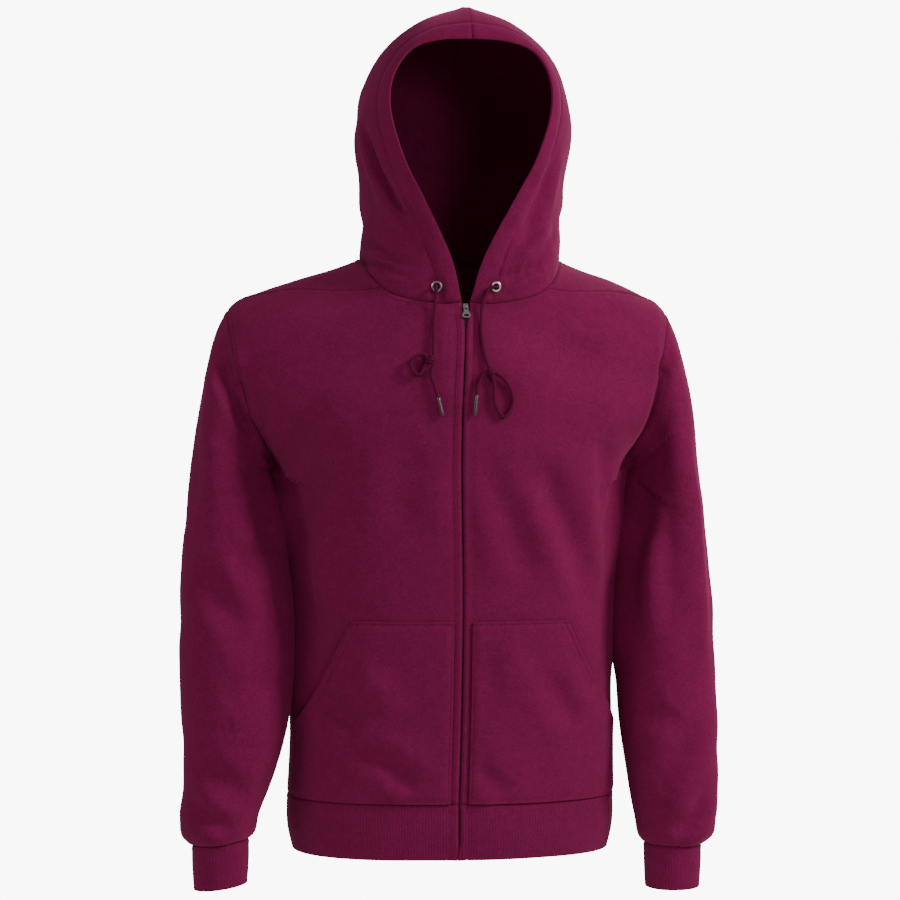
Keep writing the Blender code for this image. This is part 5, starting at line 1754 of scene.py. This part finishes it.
# The second colour is the inside's, darker than the outside as painted shade in the garment's hollows.
FLEECE_FINISH = ClothFinish("fleece", (0.196, 0.0090, 0.0640), (0.170, 0.0080, 0.0560))
RIB_FINISH = ClothFinish("rib", (0.196, 0.0090, 0.0640), (0.170, 0.0080, 0.0560), True)
PLAIN_FINISHES = (
    PlainFinish("zip_tape", (0.075, 0.007, 0.028), 0.85),
    PlainFinish("zip_chain", (0.075, 0.007, 0.028), 0.7, grain=380.0),
    PlainFinish("zip_metal", (0.46, 0.42, 0.41), 0.32, 1.0, grain=200.0),
    PlainFinish("eyelet_metal", (0.38, 0.33, 0.33), 0.34, 1.0, grain=200.0),
    PlainFinish("cord", (0.110, 0.0045, 0.0330), 0.85, braided=True),
    PlainFinish("aglet", (0.130, 0.045, 0.070), 0.22, clear=0.25),
)
KEPT_NODES = {
    "zip_tape_left": "zip_tape",
    "zip_tape_right": "zip_tape",
    "zip_chain": "zip_chain",
    "zip_slider": "zip_metal",
    "zip_pull": "zip_metal",
    "eyelet_left": "eyelet_metal",
    "eyelet_right": "eyelet_metal",
}


def dress_kept(finishes: dict) -> None:
    """Gives each plain solid that stays its material."""
    for name, finish in KEPT_NODES.items():
        node = frame["nodes"][name]
        slots = node.data.materials
        if not len(slots):
            slots.append(finishes[finish])
        for i in range(len(slots)):
            slots[i] = finishes[finish]


def eyelet_place(hand: Hand) -> tuple:
    """The middle of an eyelet's face, and the way it faces, from its ring's own shape."""
    node = frame["nodes"]["eyelet_" + hand.word]
    points = np.zeros(len(node.data.vertices) * 3)
    node.data.vertices.foreach_get("co", points)
    points = points.reshape(-1, 3) @ np.array(node.matrix_world)[:3, :3].T
    points += np.array(node.matrix_world)[:3, 3]
    middle = (points.min(axis=0) + points.max(axis=0)) / 2
    _, _, axes = np.linalg.svd(points - points.mean(axis=0), full_matrices=False)
    out = axes[2] * -np.sign(axes[2][1])
    return middle, out


# ---------------------------------------------------------------- the scene round it


@dataclass(frozen=True)
class Studio:
    """The camera, the lights and the floor.

    Attributes:
        azimuth: The camera's turn round the garment from straight ahead, in degrees.
        distance: From its target.
        target: The point it looks at.
        field: Its field of view, in degrees.
        room: Strength of the light from all round.
        backdrop: Brightness of what is seen behind.
    """

    azimuth: float = -5.0
    distance: float = 2.6
    target: tuple = (0.003, 0.0, -0.225)
    field: float = 23.45
    room: float = 0.26
    backdrop: float = 9.0

    FLOOR_Z = -1.15
    FLOOR_RADIUS = 1.1

    def place_camera(self) -> None:
        """Makes the scene's camera."""
        turn = math.radians(self.azimuth)
        away = Vector((math.sin(turn), -math.cos(turn), 0)) * self.distance
        camera = bpy.data.cameras.new("camera")
        camera.angle = math.radians(self.field)
        made = linked("camera", camera)
        made.location = Vector(self.target) + away
        made.rotation_euler = (-away).to_track_quat("-Z", "Y").to_euler()
        bpy.context.scene.camera = made

    def place_lights(self) -> None:
        """A key and a low front light from the right, a fill from the left, one from
        behind, and a pale room that is brighter where it is seen than where it lights."""
        self.light("key", (2.2, -1.10, 1.25), 0.7, 56)
        self.light("front", (0.95, -2.4, 0.30), 0.5, 11)
        self.light("fill", (-2.5, -1.1, 0.8), 1.0, 17)
        self.light("behind", (1.7, 2.1, 1.2), 1.0, 36)
        world = bpy.data.worlds.new("room")
        world.use_nodes = True
        wires = Wiring(world.node_tree)
        seen = wires.node("ShaderNodeLightPath").outputs["Is Camera Ray"]
        strength = wires.maths("MULTIPLY_ADD", seen, self.backdrop - self.room, self.room)
        background = world.node_tree.nodes["Background"]
        wires.feed(background, {"Color": (1, 1, 1, 1), "Strength": strength})
        bpy.context.scene.world = world

    def light(self, name: str, place: tuple, size: float, power: float) -> None:
        """An area light that faces the target."""
        lamp = bpy.data.lights.new(name, "AREA")
        lamp.size = size
        lamp.energy = power
        made = linked(name, lamp)
        made.location = place
        towards = Vector(self.target) - Vector(place)
        made.rotation_euler = towards.to_track_quat("-Z", "Y").to_euler()
        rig.stage(made)

    def place_floor(self) -> None:
        """A wide pale floor, well below the garment."""
        shape = bmesh.new()
        bmesh.ops.create_circle(shape, cap_ends=True, radius=self.FLOOR_RADIUS,
                                  segments=64)
        mesh = bpy.data.meshes.new("floor")
        shape.to_mesh(mesh)
        shape.free()
        pale, wires, shader = blank("floor")
        wires.feed(shader, {"Base Color": (0.85, 0.85, 0.85, 1), "Roughness": 0.9})
        mesh.materials.append(pale)
        floor = linked("floor", mesh)
        floor.location = (0, 0, self.FLOOR_Z)
        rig.stage(floor)


def make_finishes() -> dict:
    """Every material, under its slot's name."""
    cloth, ribs, braid = cloth_effect(), rib_effect(), braid_effect()
    made = {finish.name: finish.build(braid) for finish in PLAIN_FINISHES}
    for finish in (FLEECE_FINISH, RIB_FINISH):
        made[finish.name] = finish.build(cloth, ribs)
    return made


def write_sizes() -> None:
    """Writes the plain solids' box and the finished garment's box."""
    sizes = {"cad": CAD_BOX, "visual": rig.bounds()}
    plain = {name: [[float(v) for v in corner] for corner in box] for name, box in sizes.items()}
    with open("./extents.json", "w", encoding="utf-8") as file:
        json.dump(plain, file)


def main() -> None:
    """Builds the scene."""
    studio = Studio()
    studio.place_camera()
    finishes = make_finishes()
    eyelets = {hand: eyelet_place(hand) for hand in Hand}
    for hand in Hand:
        Drawcord(hand, eyelets[hand]).build(finishes)
    held = np.array([eyelets[hand][0] for hand in Hand])
    garment = Garment(held)
    for piece in garment.pieces:
        piece.build(finishes[piece.slot], held)
    for hand in Hand:
        piece = garment.pocket(hand)
        piece.build(finishes[piece.slot], held)
    dress_kept(finishes)
    studio.place_lights()
    studio.place_floor()
    write_sizes()


if __name__ == "__main__":
    logging.basicConfig(level=logging.INFO)
    main()
